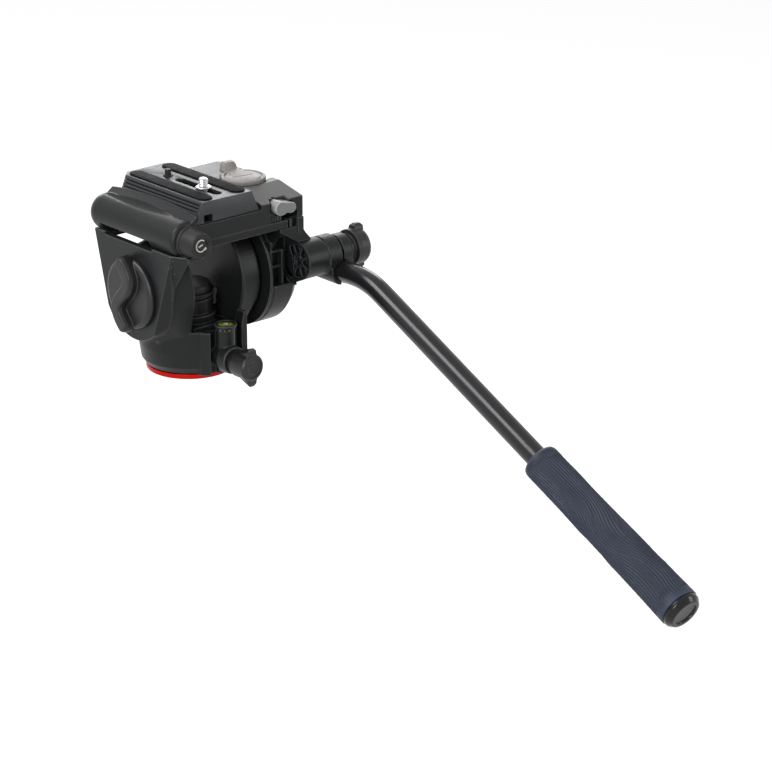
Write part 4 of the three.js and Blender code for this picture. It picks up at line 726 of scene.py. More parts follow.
class FLUIDHEAD_OT_base(bpy.types.Operator):
    """Turns the red ring at the foot and the threaded insert in it"""

    bl_idname = "fluid_head.base"
    bl_label = "Base Ring and Insert"

    def execute(self, context):
        sides = sizes().turned_sides
        profile = [(8.3, 0), (29.4, 0), (30, 0.6), (30, 3.5), (8.3, 3.5), (8.3, 0)]
        steps = [("+", lathe(softened(profile, 0.25), sides=sides))]
        for degrees in (30, 150, 270):
            angle = math.radians(degrees)
            spot = (17 * math.cos(angle), 17 * math.sin(angle), 0)
            steps += [("-", rod(3.3, -5, 2.4, centre=spot)), ("-", rod(1.8, 0, 9, centre=spot))]
        for radius in (12, 22.5, 26):
            steps.append(("-", ring(radius + 0.25, radius - 0.25, -1, 0.25, sides=sides)))
        piece = machined(solid("base_ring_turned", steps), 0)
        fitted(piece, "anodised_red", "tripod_base", "base_ring")

        pitch = sizes().base_pitch / MM
        rows = [(4.76, 10.2 - i * pitch / 8) for i in range(int(9.9 * 8 / pitch))]
        profile = [(4.9, 0.3), (8, 0.3), (8, 12), (0, 12), (0, 10.2)] + rows + [(4.9, 0.3)]
        insert = shaped("tripod_insert_threaded", lathe(
            profile, sides=96, reach=threaded(pitch, 0.5, 0.6, 10)))
        fitted(machined(insert, 0, 50), "steel", "tripod_base", "tripod_thread_insert")
        return {"FINISHED"}


def cheek(side, inner, outer, inner_radius, outer_radius):
    """A cheek of the panning housing: a disc or a cone round the tilt axis, on its web."""
    points = []
    for along, radius in ((inner, inner_radius - 1.2), (inner + 1.2, inner_radius),
                          (outer - 1.2, outer_radius), (outer, outer_radius - 1.2)):
        points += circle_x(radius, side * along)
    reach = min(outer, 33.3)
    half = math.sqrt(34.5 ** 2 - reach ** 2)
    for y in (-1, 1):
        points += [(side * inner, y * 24, 24), (side * reach, y * half, 24), (side * outer, y * 12, 34.5)]
    return hull(points)


class FLUIDHEAD_OT_pan_housing(bpy.types.Operator):
    """Casts the panning housing: bucket, cheeks, rear lobe and bosses"""

    bl_idname = "fluid_head.pan_housing"
    bl_label = "Pan Housing"

    def execute(self, context):
        bucket = lathe([
            (25.5, 3.8), (29.7, 3.8), (33, 8.5), (34.5, 19), (34.5, 33.9), (33.9, 34.6), (32.7, 34.6),
            (32, 33.8), (31.2, 32.8), (20.2, 32.6), (18.9, 33.4), (18.5, 35), (18.5, 39.2), (18, 39.7),
            (16.9, 39.9), (16.5, 40.4), (16.5, 50), (11, 50), (11, 28.3), (13.3, 28.3), (13.3, 21.5),
            (25.5, 21.5), (25.5, 3.8)], sides=sizes().turned_sides)
        lobe = prism([(-15, -16.5), (-15, -31.07), (-10.6, -36), (12.5, -36), (12.5, -41), (17.4, -41),
                      (20.9, -25.5), (17.4, -16.5)], 3.8, 34.1)
        moat = prism([(-13.6, -21), (-13.6, -30.4), (-12.6, -31.2), (11.2, -31.2), (11.2, -21)], 32.7, 40)
        pillar = hull([p for y in (-41, -33) for p in (
            (12.5, y, 30.8), (12.5, y, 35.8), (14.8, y, 45.2), (17.4, y, 45.2), (17.4, y, 30.8))])
        level = lathe([(0, 16), (6.3, 16), (6.3, 34.4), (6.6, 36.6), (7.3, 38.4), (7.8, 39.3), (7.6, 39.9),
                       (7.1, 40.1), (0, 40.1)], centre=LEVEL)
        boss = lathe([(0, -49), (8.9, -49), (9.4, -48.4), (10, -42), (7.6, -38), (7.6, -25.5),
                      (0, -25.5)], "y", LOCK)
        axis = (0, 0, TILT)
        piece = solid("pan_housing_casting", [
            ("+", bucket), ("+", lobe), ("-", moat), ("-", block((-9.8, -3.1), (-41, -32.5), (0, 40))),
            ("+", pillar), ("+", level), ("+", boss),
            ("+", cheek(-1, 19, 36.4, 33, 30.3)), ("+", cheek(1, 20, 35, 34.2, 34.2)),
            ("-", rod(25.5, 0, 21.5, sides=128)), ("-", rod(6.4, 36.1, 45, centre=LEVEL)),
            ("-", rod(4.7, -42, 0, "y", LOCK)), ("-", rod(3.3, -54, 0, "y", LOCK)),
            ("-", rod(10.8, -42, -22, "x", axis)), ("-", rod(10.8, 23, 40, "x", axis))])
        cast(piece, sizes().casting_grain / MM, 3)
        fitted(piece, "cast_black", "pan_body", "pan_housing")
        return {"FINISHED"}


class FLUIDHEAD_OT_turret(bpy.types.Operator):
    """Moulds the turret's cap and the ring that sets the pan drag"""

    bl_idname = "fluid_head.turret"
    bl_label = "Turret and Pan Drag Ring"

    def execute(self, context):
        profile = [(14.1, 50.3), (15.6, 50.3), (15.6, 51.5), (16.5, 51.5), (16.5, 51.9), (15.3, 51.9),
                   (15.3, 57.1), (14.3, 59.3), (0, 59.3), (0, 56.9), (14.1, 56.9), (14.1, 50.3)]
        cap = shaped("turret_cap_moulding", lathe(softened(profile, 0.4), sides=sizes().turned_sides))
        fitted(machined(cap, 0, 40), "moulded_black", "pan_body", "pan_turret_cap")

        def grip(radius, along, angle):
            ribbed = radius > 17 and 52.6 < along < 54.1 and math.sin(angle * 48) > 0.2
            return radius - 0.25 if ribbed else radius

        rows = [(15.6, 52.2), (17.6, 52.2), (17.6, 52.55), (17.6, 52.65), (17.6, 54.05), (17.6, 54.15),
                (17.6, 54.5), (15.6, 54.5), (15.6, 52.2)]
        turn = at(0, 0, 0, "Z", -48)
        tab = hull([(x, y, z) for x, z in ((17, 45), (18.2, 45), (18.6, 46), (18.6, 54), (17, 54))
                    for y in (-1.8, 1.8)])
        nub = ((16.3, 52.4), (16.3, 54.5), (17.4, 56.4), (19, 56.4), (19.5, 55.6), (19.4, 53.4), (18.4, 52))
        nub = hull([(x, y, z) for x, z in nub for y in (-2, 2)])
        selector = solid("pan_drag_ring_moulding", [
            ("+", lathe(rows, sides=384, reach=grip)), ("+", placed(tab, turn)), ("+", placed(nub, turn))])
        fitted(machined(selector, 0, 35), "moulded_black", "pan_drag_ring", "pan_drag_selector")
        return {"FINISHED"}


class FLUIDHEAD_OT_level(bpy.types.Operator):
    """Fits the round bubble level in its boss"""

    bl_idname = "fluid_head.level"
    bl_label = "Bubble Level"

    def execute(self, context):
        dome = [(5.9 * math.cos(a), 38.5 + 1.1 * math.sin(a)) for a in (i * math.pi / 16 for i in range(9))]
        vial = shaped("level_vial", lathe([(0, 36.4), (5.9, 36.4)] + dome[:-1] + [(0, 39.6)], centre=LEVEL))
        fitted(machined(vial, 0, 60), "level_liquid", "pan_body", "bubble_level")
        profile = [(5.95, 38.4), (6.38, 38.4), (6.38, 40.25), (6.1, 40.25), (5.95, 39.8), (5.95, 38.4)]
        bezel = shaped("level_bezel", lathe(softened(profile, 0.1), centre=LEVEL))
        fitted(machined(bezel, 0, 50), "moulded_black", "pan_body")
        circle = shaped("level_circle", ring(2.8, 2.5, 39.35, 39.62, centre=LEVEL))
        fitted(machined(circle, 0), "knob_black", "pan_body")
        bubble = [(1.9 * math.cos(a), 39.4 + 0.5 * math.sin(a)) for a in
                  (i * math.pi / 16 - math.pi / 2 for i in range(17))]
        bubble = [(0, bubble[0][1])] + bubble[1:-1] + [(0, bubble[-1][1])]
        bubble = shaped("level_bubble", lathe(bubble, centre=(0.4, -39.2, 0)))
        fitted(machined(bubble, 0, 80), "polymer", "pan_body")
        return {"FINISHED"}


def wings(reach, start_reach, root, tip, start, end, lean, upright):
    """Two wings that narrow to their tips. upright takes (across, along, up) to the knob's own axis."""
    points = []
    for side in (-1, 1):
        for half in (-1, 1):
            points += [(half * root, start, 0), (half * root, end, 0),
                       (half * tip, start + lean, side * reach), (half * tip, end, side * start_reach),
                       (half * tip / 2, start + lean * 2, side * (reach + tip / 2)),
                       (half * tip / 2, end - lean / 2, side * (start_reach + tip / 2))]
    return hull([upright(*p) for p in points])


class FLUIDHEAD_OT_pan_lock(bpy.types.Operator):
    """Moulds the wing knob that locks the pan"""

    bl_idname = "fluid_head.pan_lock"
    bl_label = "Pan Lock Knob"

    def execute(self, context):
        profile = [(0, -18.5), (4.6, -18.5), (4.6, -19.5), (5.9, -19.5), (5.9, -18.9), (6.6, -18.9),
                   (6.6, -19.5), (7.8, -19.5), (9.2, -18.1), (9.2, -5), (7.6, -1.4), (7.6, 0), (0, 0)]
        spine = placed(block((-3.6, 3.6), (-19.2, -18), (-0.7, 0.7)), at(0, 0, 0, "Y", 45))
        piece = solid("pan_lock_wing_knob", [
            ("+", lathe(profile, "y")),
            ("+", wings(11.85, 5.85, 5, 3.5, -18.8, -1.4, 0.7, lambda a, b, c: (a, b, c))),
            ("-", ring(5.9, 4.6, -18.9, -21, "y")), ("-", ring(7, 6.3, -18.6, -21, "y")),
            ("-", rod(4.2, -18.6, -21, "y")), ("+", spine),
            ("-", rod(3, -9.75, 0.5, "y"))], at(0, -49.3, LOCK[2]))
        fitted(moulded(piece, rounds=3), "knob_black", "pan_lock", "pan_lock_knob")
        return {"FINISHED"}


def yoke_screw(x, y, start, way, length, head, clearance=0.0):
    """A cap screw that stands up or hangs down from start, with its head cut out to the open side."""
    open_end = start - way * (5 if clearance else 0)
    return lathe([(0, open_end), (3.6 + clearance, open_end),
                  (3.6 + clearance, start + way * (head + clearance)),
                  (2 + clearance, start + way * (head + clearance)),
                  (2 + clearance, start + way * (length + clearance)),
                  (0, start + way * (length + clearance))], centre=(x, y, 0), sides=48)


class FLUIDHEAD_OT_yoke(bpy.types.Operator):
    """Casts the tilting slab and its left leg"""

    bl_idname = "fluid_head.yoke"
    bl_label = "Yoke Frame"

    def execute(self, context):
        inner = circle_x(33.5, -38.6, 0, -2, 60, math.pi, math.pi)
        outer = circle_x(33.2, -46, 0, 0, 48, math.pi * 1.28, math.pi * 0.56)
        outer += [(-46, -27.7, 25.2), (-46, -21, 0), (-46, 42, 35), (-46, -42, 35)]
        leg = hull(inner + [(-38.6, 42, 35), (-38.6, -40, 35)] + outer)
        flare = hull([(-38.6, -54, 35), (-38.6, -36.5, 10.4), (-38.6, -20, 10.4), (-38.6, -20, 35),
                      (-46, -42, 35), (-46, -27.72, 25.2), (-46, -20, 35)])
        steps = [("+", block((-37.5, 63.8), (-44.5, 44), SLAB)), ("+", leg), ("+", flare),
                 ("+", block((-40, -21), (34, 44), (28.6, 37.7))),
                 ("+", block((-40, -21), (-44.5, -34), (28.6, 37.7))),
                 ("-", rod(13.1, -45, 52, "y", TUBE)),
                 ("-", rod(11, -59, 0, "y", TUBE)),
                 ("-", block((-51, -35), (-21, 31), (33, 46))),
                 ("-", block((-38.75, -19.75), (-34, 34), (0, 46))),
                 ("-", rod(8.3, -51, -37, "x")), ("+", block((-21, -18.5), (8, 35), (30.4, 36)))]
        for start, end in ((46.87, 47.74), (50.71, 52.2), (54.18, 58.15)):
            steps.append(("-", block((start, end), (-49.5, -40.83), (30.2, 46))))
        post = [(58.7, 41), (63.8, 41)] + arc(2.5, (61.3, 31.6), 0, -180, 16)
        steps.append(("+", prism(post, -45.3, -43.6, "y")))
        steps += [("-", yoke_screw(x, y, 35.5, 1, 10, 2.4, 0.3)) for x, y in RECEIVER_SCREWS]
        piece = solid("yoke_frame_casting", steps, ON_AXIS)
        cast(piece, 0.42, 3)
        fitted(piece, "cast_black", "tilt_yoke", "yoke_frame")
        return {"FINISHED"}


def hub_points(radius, x, start, end, steps=8):
    """Points of an arc round the pan bar's hub, its angles in radians."""
    return circle_x(radius, x, HUB[1], HUB[2], steps, start, end - start)


class FLUIDHEAD_OT_drum(bpy.types.Operator):
    """Casts the right drum, and the bracket with the spoked hub of the pan bar"""

    bl_idname = "fluid_head.drum"
    bl_label = "Drum Housing"

    def execute(self, context):
        cup = lathe([(DRUM_BORE, 38), (41, 38), (41, 40), (40.2, 40.4), (40.2, 42.4), (41, 42.8), (41, 58),
                     (37, 63.5), (0, 63.5), (0, 61.3), (8.3, 61.3), (8.3, 54), (13, 54), (13, 57),
                     (DRUM_BORE, 57), (DRUM_BORE, 38)], "x", sides=sizes().turned_sides)
        recess = hull([(x, y, z) for z in (-5.5, 25) for x, y in
                       ((41, -36.5), (58.7, -30), (58.7, -46), (41, -46))])
        top = block((33, 76.5), (-56, 41), (34.9, 46))
        piece = solid("drum_casting", [("+", cup), ("-", recess), ("-", top)], ON_AXIS)
        fitted(cast(piece, 0.42, 3), "cast_black", "tilt_yoke", "right_drum_housing")

        steps = [("+", block((40.7, 49), (-37.5, -28.8), (z, z + 1.6))) for z in (17, 6.5)]
        steps += [("+", block((49.6, 51.2), (-38.5, -28.8), (-5.8, 18.6))),
                  ("+", block((41.2, 42.6), (-37.2, -30), (-5.8, 24.8)))]
        web = hull([p for x in (58.7, 63.5) for p in circle_x(13.3, x, HUB[1], HUB[2]) +
                    [(x, -24, 27), (x, -24, -14)]])
        steps += [("+", web), ("+", lathe([(0, 58.7), (12.9, 58.7), (13.3, 59.1), (13.3, 75.7),
                                           (13, 76), (0, 76)], "x", HUB, 128))]
        flare = [(58.7, 12), (70.5, 12), (70.5, 23.3), (69.75, 24.3), (69.03, 25.44), (67.9, 26.6),
                 (67.21, 27.47), (66.1, 28.6), (65.32, 29.7), (64.6, 30.8), (64.13, 31.9), (63.8, 33.4),
                 (63.5, 35.2), (43.8, 35.2), (43.8, 33.1), (58.7, 23.8)]
        steps.append(("+", prism(flare, -44.5, -37.5, "y")))
        for i in range(8):
            middle = TAU * i / 8
            points = [p for x in (53.7, 62.4) for radius, spread in ((5.3, 0.235), (11.3, 0.318))
                      for p in hub_points(radius, x, middle - spread, middle + spread)]
            steps.append(("-", hull(points)))
        for k in range(6):
            start, end = math.radians(-14 - 12 * k), math.radians(-26 - 12 * k)
            points = [p for x in (56.2, 59.2) for radius in (16.2, 17.4)
                      for p in hub_points(radius, x, start, end, 2)]
            steps.append(("+", hull(points)))
        steps += [("-", rod(3.4, 53, 81, "x", HUB)), ("-", top), ("-", rod(DRUM_BORE, 38, 57, "x"))]
        piece = solid("hub_casting", steps, ON_AXIS)
        fitted(cast(piece, 0.3, 2, 0.4), "cast_black", "tilt_yoke", "right_drum_housing")
        sleeve = solid("hub_sleeve", [("+", ring(3.3, 2.1, 59.6, 65, "x", HUB, 48))], ON_AXIS)
        fitted(machined(sleeve, 0.2), "steel", "tilt_yoke")
        return {"FINISHED"}


class FLUIDHEAD_OT_tilt_lock(bpy.types.Operator):
    """Moulds the low disc with its S-shaped wing, which locks the tilt"""

    bl_idname = "fluid_head.tilt_lock"
    bl_label = "Tilt Lock Knob"

    def execute(self, context):
        disc = lathe([(0, -46.3), (24.5, -46.3), (24.5, -48.9), (23.6, -49.9), (21.6, -50.9), (0, -50.9)],
                     "x", sides=sizes().turned_sides)
        steps, count = [("+", disc)], 20
        for i in range(count):
            points = []
            for k in (i, i + 1):
                t = 2 * k / count - 1
                y, z = -6.5 * math.sin(t * math.pi), t * 21.5
                for radius, x in ((5.2, -48.9), (4.9, -54.7), (4.1, -56.9), (3.2, -57.6)):
                    points += circle_x(radius, x, y, z, 24)
            steps.append(("+", hull(points)))
        steps.append(("-", rod(3.3, -50.9, -41, "x")))
        piece = solid("tilt_lock_knob_moulding", steps, ON_AXIS)
        fitted(moulded(piece, 0.3, 6), "knob_black", "tilt_lock", "tilt_lock_knob")
        return {"FINISHED"}


def plate_half(height):
    """Half the width of the camera plate's dovetail at a height above the tilt axis."""
    (low, high), (foot, top) = DOVETAIL, DOVETAIL_HALF
    return foot + (top - foot) * (height - low) / (high - low)


def housing_top(y):
    """The lever housing's top: it rises to a crown beside the lever, then falls to the front."""
    return 55.4 + 5.4 * (y + 45) / 25 if y < -20 else 60.8 - 2.2 * (y + 20) / 67


def button_outline(clearance):
    """The release button's outline in X and Z: two half circles of different size."""
    return (arc(4.8 + clearance, (42.2, 51), 90, 270, 20) +
            arc(3.6 + clearance, (51.2, 50.2), -90, 90, 20))


class FLUIDHEAD_OT_receiver(bpy.types.Operator):
    """Casts the receiver: the tube, the dovetail's rail, the platform and the lever's housing"""

    bl_idname = "fluid_head.receiver"
    bl_label = "Receiver"

    def execute(self, context):
        round_end = [(1.8 + 11 * math.cos(a), 41 + 11 * math.sin(a)) for a in
                     (math.pi / 2 * i / 16 for i in range(17))]
        rear_end = [(9.6 + 3.2 * math.sin(a), -41.8 - 3.2 * math.cos(a)) for a in
                    (math.pi / 2 * i / 8 for i in range(9))]
        tube = lathe([(0, -45)] + rear_end + round_end + [(0, 52)], "y", TUBE, 128)
        room = hull([(side * x, y, z) for y in (-50, 57) for side in (-1, 1)
                     for x, z in ((27, 52.4), (20.9, 67))])
        rail = []
        for i in range(25):
            y = -45 + 92 * i / 24
            share = 1 - 0.28 * abs(2 * i / 24 - 1) ** 2.4
            peak = plate_half(61) + 0.3 + (1 - share) * 8.6
            top = 52.4 + 8.6 * share
            rail += [(-30.6, y, 47.4), (-27, y, 52.4), (-peak - 0.3, y, top), (-peak - 1.2, y, top),
                     (-30.6, y, 52.4 + 4.8 * share), (-33, y, 47.4)]

        def outline(inset, height):
            flat = [(28, -45)] + arc(2, (62 - inset, -43), -90, 0, 6)
            flat += [(64 - inset, y) for y in (-34, -26, -20, -14, -6, 10, 28)]
            flat += arc(2, (62 - inset, 45), 0, 90, 6) + [(28, 47), (28, -20)]
            return [(x, y, height(y)) for x, y in flat]
        housing = outline(0, lambda y: 41.3) + outline(0.9, housing_top)
        housing += [p for p in outline(0.3, lambda y: housing_top(y) - 0.35) if p[0] > 46]
        housing += [p for p in outline(0, lambda y: housing_top(y) - 1) if p[0] > 46]
        scoop = lathe([(5 * math.sin(a), -42 * math.cos(a)) for a in
                       (math.pi * i / 32 for i in range(33))], "y")
        scoop = placed(scoop, at(-34.5, 9, 59) @ Matrix.Diagonal((1, 1, 1.1, 1)))
        hollow = hull([(35, -45, 48), (35, -50, 48), (50.6, -50, 48), (50.6, -45, 48), (35, -45, 60.4),
                       (35, -50, 60.4), (50.6, -50, 60.4), (50.6, -37.5, 60.4), (38.5, -37.5, 60.4)])
        notch = hull([p for x in (59.2, 69) for p in (
            (x, -7.5, 56.9), (x, 14, 56.9), (x, -19.6, 65.8), (x, 26.1, 65.8))])
        steps = [("+", tube), ("-", block((-46.8, -21.2), (-18, 36), (26, 39.5))), ("-", room),
                 ("+", block((-34, 33), (-45, 47), (RECEIVER_FOOT, DOVETAIL[0]))),
                 ("+", hull(rail)), ("+", hull(housing)),
                 ("-", scoop), ("-", block((-27.6, 69), (-50, 52), (30, RECEIVER_FOOT))),
                 ("-", block((23, 37.3), (-21.5, 21.5), (52.1, 56.6))),
                 ("-", block((46, 58.4), (-50, -34), (30, 46.2))),
                 ("-", block((35.8, 46.3), (-50, -43.5), (30, 46.2)))]
        steps += [("+", block((x, x + 0.5), (-44.6, -43), (RECEIVER_FOOT, 46.4))) for x in
                  (36.9, 38.3, 39.7, 41.1, 42.5, 43.9)]
        steps += [("-", hollow)]
        steps += [("+", block((x, x + 1.1), (-42.9, -39), (51, 54.9))) for x in (43, 46.2)]
        steps += [("-", prism(button_outline(0.8), -50, -25, "y")),
                  ("-", rod(3.3, 47.4, 65, centre=PIVOT)),
                  ("-", rod(4.6, -50, 20, "y", TUBE)),
                  ("-", lathe([(0, 56.9), (15.8, 56.9), (16.4, 60.8), (16.4, 66), (0, 66)],
                              centre=PIVOT)), ("-", notch)]
        steps += [("-", yoke_screw(x, y, 35.5, 1, 10, 2.4, 0.3)) for x, y in RECEIVER_SCREWS]
        piece = solid("receiver_casting", steps, ON_AXIS)
        cast(piece, 0.36, 2)
        fitted(piece, "cast_black", "tilt_yoke", "receiver")
        return {"FINISHED"}


class FLUIDHEAD_OT_drag_selector(bpy.types.Operator):
    """Moulds the cap that sets the tilt drag, with a white turning mark on its face"""

    bl_idname = "fluid_head.drag_selector"
    bl_label = "Tilt Drag Selector"

    def execute(self, context):
        place = at(TUBE[0], -45.3, TUBE[2] + TILT)
        profile = [(4.3, 0), (10.5, 0), (10.5, -1.5), (9.9, -2.2), (9.5, -2.2), (9.5, -2.9), (9.8, -3.1),
                   (8.6, -13.6), (8, -14.6), (7.2, -14.6), (6.9, -14.1), (6.2, -14.1), (5.9, -14.4),
                   (5.2, -14.4), (4.9, -13.3), (0, -13.3), (0, -11.4), (4.3, -11.4), (4.3, 0)]
        cap = solid("drag_selector_moulding", [("+", lathe(softened(profile, 0.3), "y", sides=128))], place)
        fitted(machined(cap, 0, 40), "moulded_black", "tilt_drag_selector", "drag_selector_cap")
        band = arc(4.3, (0, 0), 50, 320, 32) + arc(3.5, (0, 0), 320, 50, 32)
        tip = [(4.6, -3.6), (1.9, -3.2), (3.9, -1.2)]
        bar = [(-1.7, -0.9), (1.5, 0.3), (1.2, 1.1), (-2, -0.1)]
        mark = solid("selector_mark", [("+", prism(shape, -13.75, -13.1, "y")) for shape in (band, tip, bar)],
                     place)
        fitted(machined(mark, 0), "polymer", "tilt_drag_selector")
        return {"FINISHED"}


class FLUIDHEAD_OT_lever(bpy.types.Operator):
    """Casts the lever that locks the camera plate"""

    bl_idname = "fluid_head.lever"
    bl_label = "Plate Lock Lever"

    def execute(self, context):
        arm = hull([(x, y, z) for z in (3.6, 6) for x, y in ((-7.5, 0), (7.5, 0), (5.25, 23), (-5.25, 23))])
        tab = hull([(side * x, y, z) for side in (-1, 1) for x, y, z in (
            (5.25, 15.5, 3.6), (5.25, 23, 3.6), (4.9, 18.2, 8.6), (4.9, 23, 9.2), (3.6, 18.4, 10.6),
            (3.6, 22.6, 10.8))])
        disc = lathe([(0, 0), (14.9, 0), (15.2, 0.4), (15.2, 5.1), (14.9, 5.7), (14.3, 6), (13.5, 6),
                      (13.2, 5.7), (13.1, 5.1), (12.1, 5.1), (11.9, 5.6), (11.5, 5.8), (0, 5.8)], sides=128)
        piece = solid("lock_lever_casting", [("+", disc), ("+", arm), ("+", tab)],
                      at(PIVOT[0], PIVOT[1], 57.2 + TILT, "Z", -8))
        fitted(machined(piece, 0.6, 40, 3), "lever_grey", "plate_lever", "lock_lever")
        return {"FINISHED"}


class FLUIDHEAD_OT_release_button(bpy.types.Operator):
    """Moulds the release button: two lobes with a waist between them"""

    bl_idname = "fluid_head.release_button"
    bl_label = "Release Button"

    def execute(self, context):
        piece = solid("release_button_moulding", [
            ("+", prism(button_outline(0), -48.2, -36, "y")),
            ("-", rod(4, -50, -40, "y", (47.6, 0, 58.4))),
            ("-", rod(4, -50, -40, "y", (47.4, 0, 43.2)))], ON_AXIS)
        fitted(moulded(piece, 0.5, 3), "button_grey", "plate_release", "release_button")
        return {"FINISHED"}


def strip(x, low, high, width, start, end):
    return prism(stadium(x, low, high, width), start, end)


class FLUIDHEAD_OT_plate(bpy.types.Operator):
    """Mills the sliding camera plate and presses its rubber pads"""

    bl_idname = "fluid_head.plate"
    bl_label = "Camera Plate"

    def execute(self, context):
        low, high = 52.7, DOVETAIL[1]

        def outline(half, z):
            return [(-half, -44, z), (half, -44, z), (half, 40, z), (half - 5, 45, z), (-half + 5, 45, z),
                    (-half, 40, z)]
        steps = [("+", hull(outline(DOVETAIL_HALF[0], low) + outline(DOVETAIL_HALF[1], high)))]
        for side in (-1, 1):
            for start, end, inner in ((64.1, 65.1, 19.8), (62.1, 63, 20.6), (59.9, 60.6, 21.6)):
                xs = sorted((side * inner, side * 31.4))
                steps.append(("-", block(xs, (-41.5, 42.5), (start, end))))
        steps += [("-", strip(x, -41.8, 41.8, 10.8, 66.5, 72)) for _, x in PADS]
        steps += [("-", strip(0, -36, 10, 7, 47, 72)), ("-", strip(0, -39, 13, 13, 47, 64)),
                  ("-", rod(2.4, 47, 72, centre=(0, 20, 0))), ("-", rod(3.9, 47, 65.3, centre=(0, 20, 0))),
                  ("-", block((-19.7, -12.7), (-49, -36), (53.1, 58.1)))]
        piece = machined(solid("camera_plate_milled", steps, ON_AXIS), sizes().edge / MM)
        fitted(piece, "plate_grey", "sliding_plate", "camera_plate")
        for name, x in PADS:
            pad = solid("pad_" + name, [("+", strip(x, -41.5, 41.5, 10.2, 66.8, 67.9))], ON_AXIS)
            fitted(machined(pad, 0.3), "pad_rubber", "sliding_plate", "rubber_pad_" + name)
        # A small black lip round the pin; its dark colour is also painted shade of the pin's hole.
        lip_and_shade_ring = solid("pin_collar", [("+", ring(3.4, 2.3, 66.7, 67.7, centre=(0, 20, 0)))], ON_AXIS)
        fitted(machined(lip_and_shade_ring, 0.25), "moulded_black", "sliding_plate")
        return {"FINISHED"}


class FLUIDHEAD_OT_camera_screw(bpy.types.Operator):
    """Cuts the camera screw's thread and turns the pin that stops a camera twisting"""

    bl_idname = "fluid_head.camera_screw"
    bl_label = "Camera Screw and Pin"

    def execute(self, context):
        pitch = sizes().screw_pitch / MM
        rows = [(3.175, 62 + i * pitch / 10) for i in range(int(12 * 10 / pitch) - 4)]
        profile = [(0, 58.8), (5.0, 58.8), (5.4, 59.2), (5.4, 61.4), (5.0, 61.8), (3.1, 61.8)] + rows + \
            [(2.4, 74), (0, 74)]
        flange = lathe(softened([(0, 67.2), (4.6, 67.2), (5.2, 67.5), (5.2, 68.1), (4.4, 68.6),
                                 (0, 68.6)], 0.2), sides=72)
        screw = solid("camera_screw_threaded", [
            ("+", lathe(profile, sides=72, reach=threaded(pitch, 0.55, 63, 74.5))), ("+", flange),
            ("-", block((-0.7, 0.7), (-6, 6), (58, 60.3)))], at(0, -18.5, TILT))
        fitted(machined(screw, 0, 50), "steel", "plate_screw", "camera_screw")
        profile = [(0, 63.8), (3.6, 63.8), (3.6, 65), (2.1, 65), (2.1, 71.6), (0, 71.6)]
        pin = shaped("anti_twist_pin_turned", placed(lathe(softened(profile, 0.5)), at(0, 20, TILT)))
        fitted(machined(pin, 0, 45), "moulded_black", "plate_pin", "anti_twist_pin")
        return {"FINISHED"}


def clamp_place():
    return at(SOCKET, HUB[1], HUB[2] + TILT)


def clamp_half(name, side, radius, end, place):
    """One half of the clamp, on its side of the bar, with a groove for it."""
    start, far = side * 1.4, end - SOCKET
    reach = side * min(abs(far), 9.6)
    neck = circle_x(radius * 0.86, start, 0, 0) + circle_x(radius * 0.86, reach, 0, 0)
    for y in (-12, 10):
        neck += [(start + (reach - start) * math.sin(a), y, SOCKET_DROP - 9.6 * math.cos(a)) for a in
                 (math.pi / 2 * i / 10 for i in range(11))]
    outer = [(0, start), (radius, start), (radius, far - side * 1.1), (radius - 1.1, far), (0, far)]
    return cast(solid(name, [
        ("+", lathe(outer, "x")), ("+", hull(neck)),
        ("-", rod(SOCKET_BORE, -17, 15, "y", (0, 0, SOCKET_DROP))),
        ("-", rod(2.8, -40, 40, "x"))], place), 0.32, 3)


class FLUIDHEAD_OT_clamp(bpy.types.Operator):
    """Casts the two halves of the pan bar's clamp"""

    bl_idname = "fluid_head.clamp"
    bl_label = "Bar Clamp"

    def execute(self, context):
        place = clamp_place()
        fitted(clamp_half("clamp_inner_casting", -1, 13.3, 76.3, place), "cast_black", "pan_bar_arm",
               "clamp_inner_half")
        fitted(clamp_half("clamp_outer_casting", 1, 11.8, 98.6, place), "cast_black", "pan_bar_arm",
               "clamp_outer_half")
        return {"FINISHED"}


def bar_point(run):
    """A point of the bar's middle line, at a distance from its level end."""
    if run <= LEVEL_RUN:
        return Vector((0, BAR_END - run, SOCKET_DROP))
    angle = min((run - LEVEL_RUN) / BEND_RADIUS, BEND)
    point = Vector((0, BAR_END - LEVEL_RUN - BEND_RADIUS * math.sin(angle),
                    SOCKET_DROP - BEND_RADIUS * (1 - math.cos(angle))))
    rest = run - LEVEL_RUN - BEND_RADIUS * angle
    return point + Vector((0, -math.cos(BEND), -math.sin(BEND))) * rest


class FLUIDHEAD_OT_bar(bpy.types.Operator):
    """Bends the tube of the pan bar"""

    bl_idname = "fluid_head.bar"
    bl_label = "Pan Bar"

    def execute(self, context):
        bend = BEND_RADIUS * BEND
        runs = [0, 12, 24, LEVEL_RUN] + [LEVEL_RUN + bend * i / 24 for i in range(1, 25)] + \
            [LEVEL_RUN + bend + STRAIGHT_RUN * i / 12 for i in range(1, 13)]
        tube = placed(swept([bar_point(r) for r in runs], 7.4, 96, 5.8), clamp_place())
        piece = machined(shaped("pan_bar_tube", tube), 0, 40)
        fitted(piece, "anodised_black", "pan_bar_arm", "pan_bar")
        return {"FINISHED"}


def grip_place():
    """The place where the bar's straight run starts, its Y along the run."""
    foot = bar_point(LEVEL_RUN + BEND_RADIUS * BEND)
    return at(SOCKET + foot.x, HUB[1] + foot.y, HUB[2] + TILT + foot.z, "X", math.degrees(BEND))


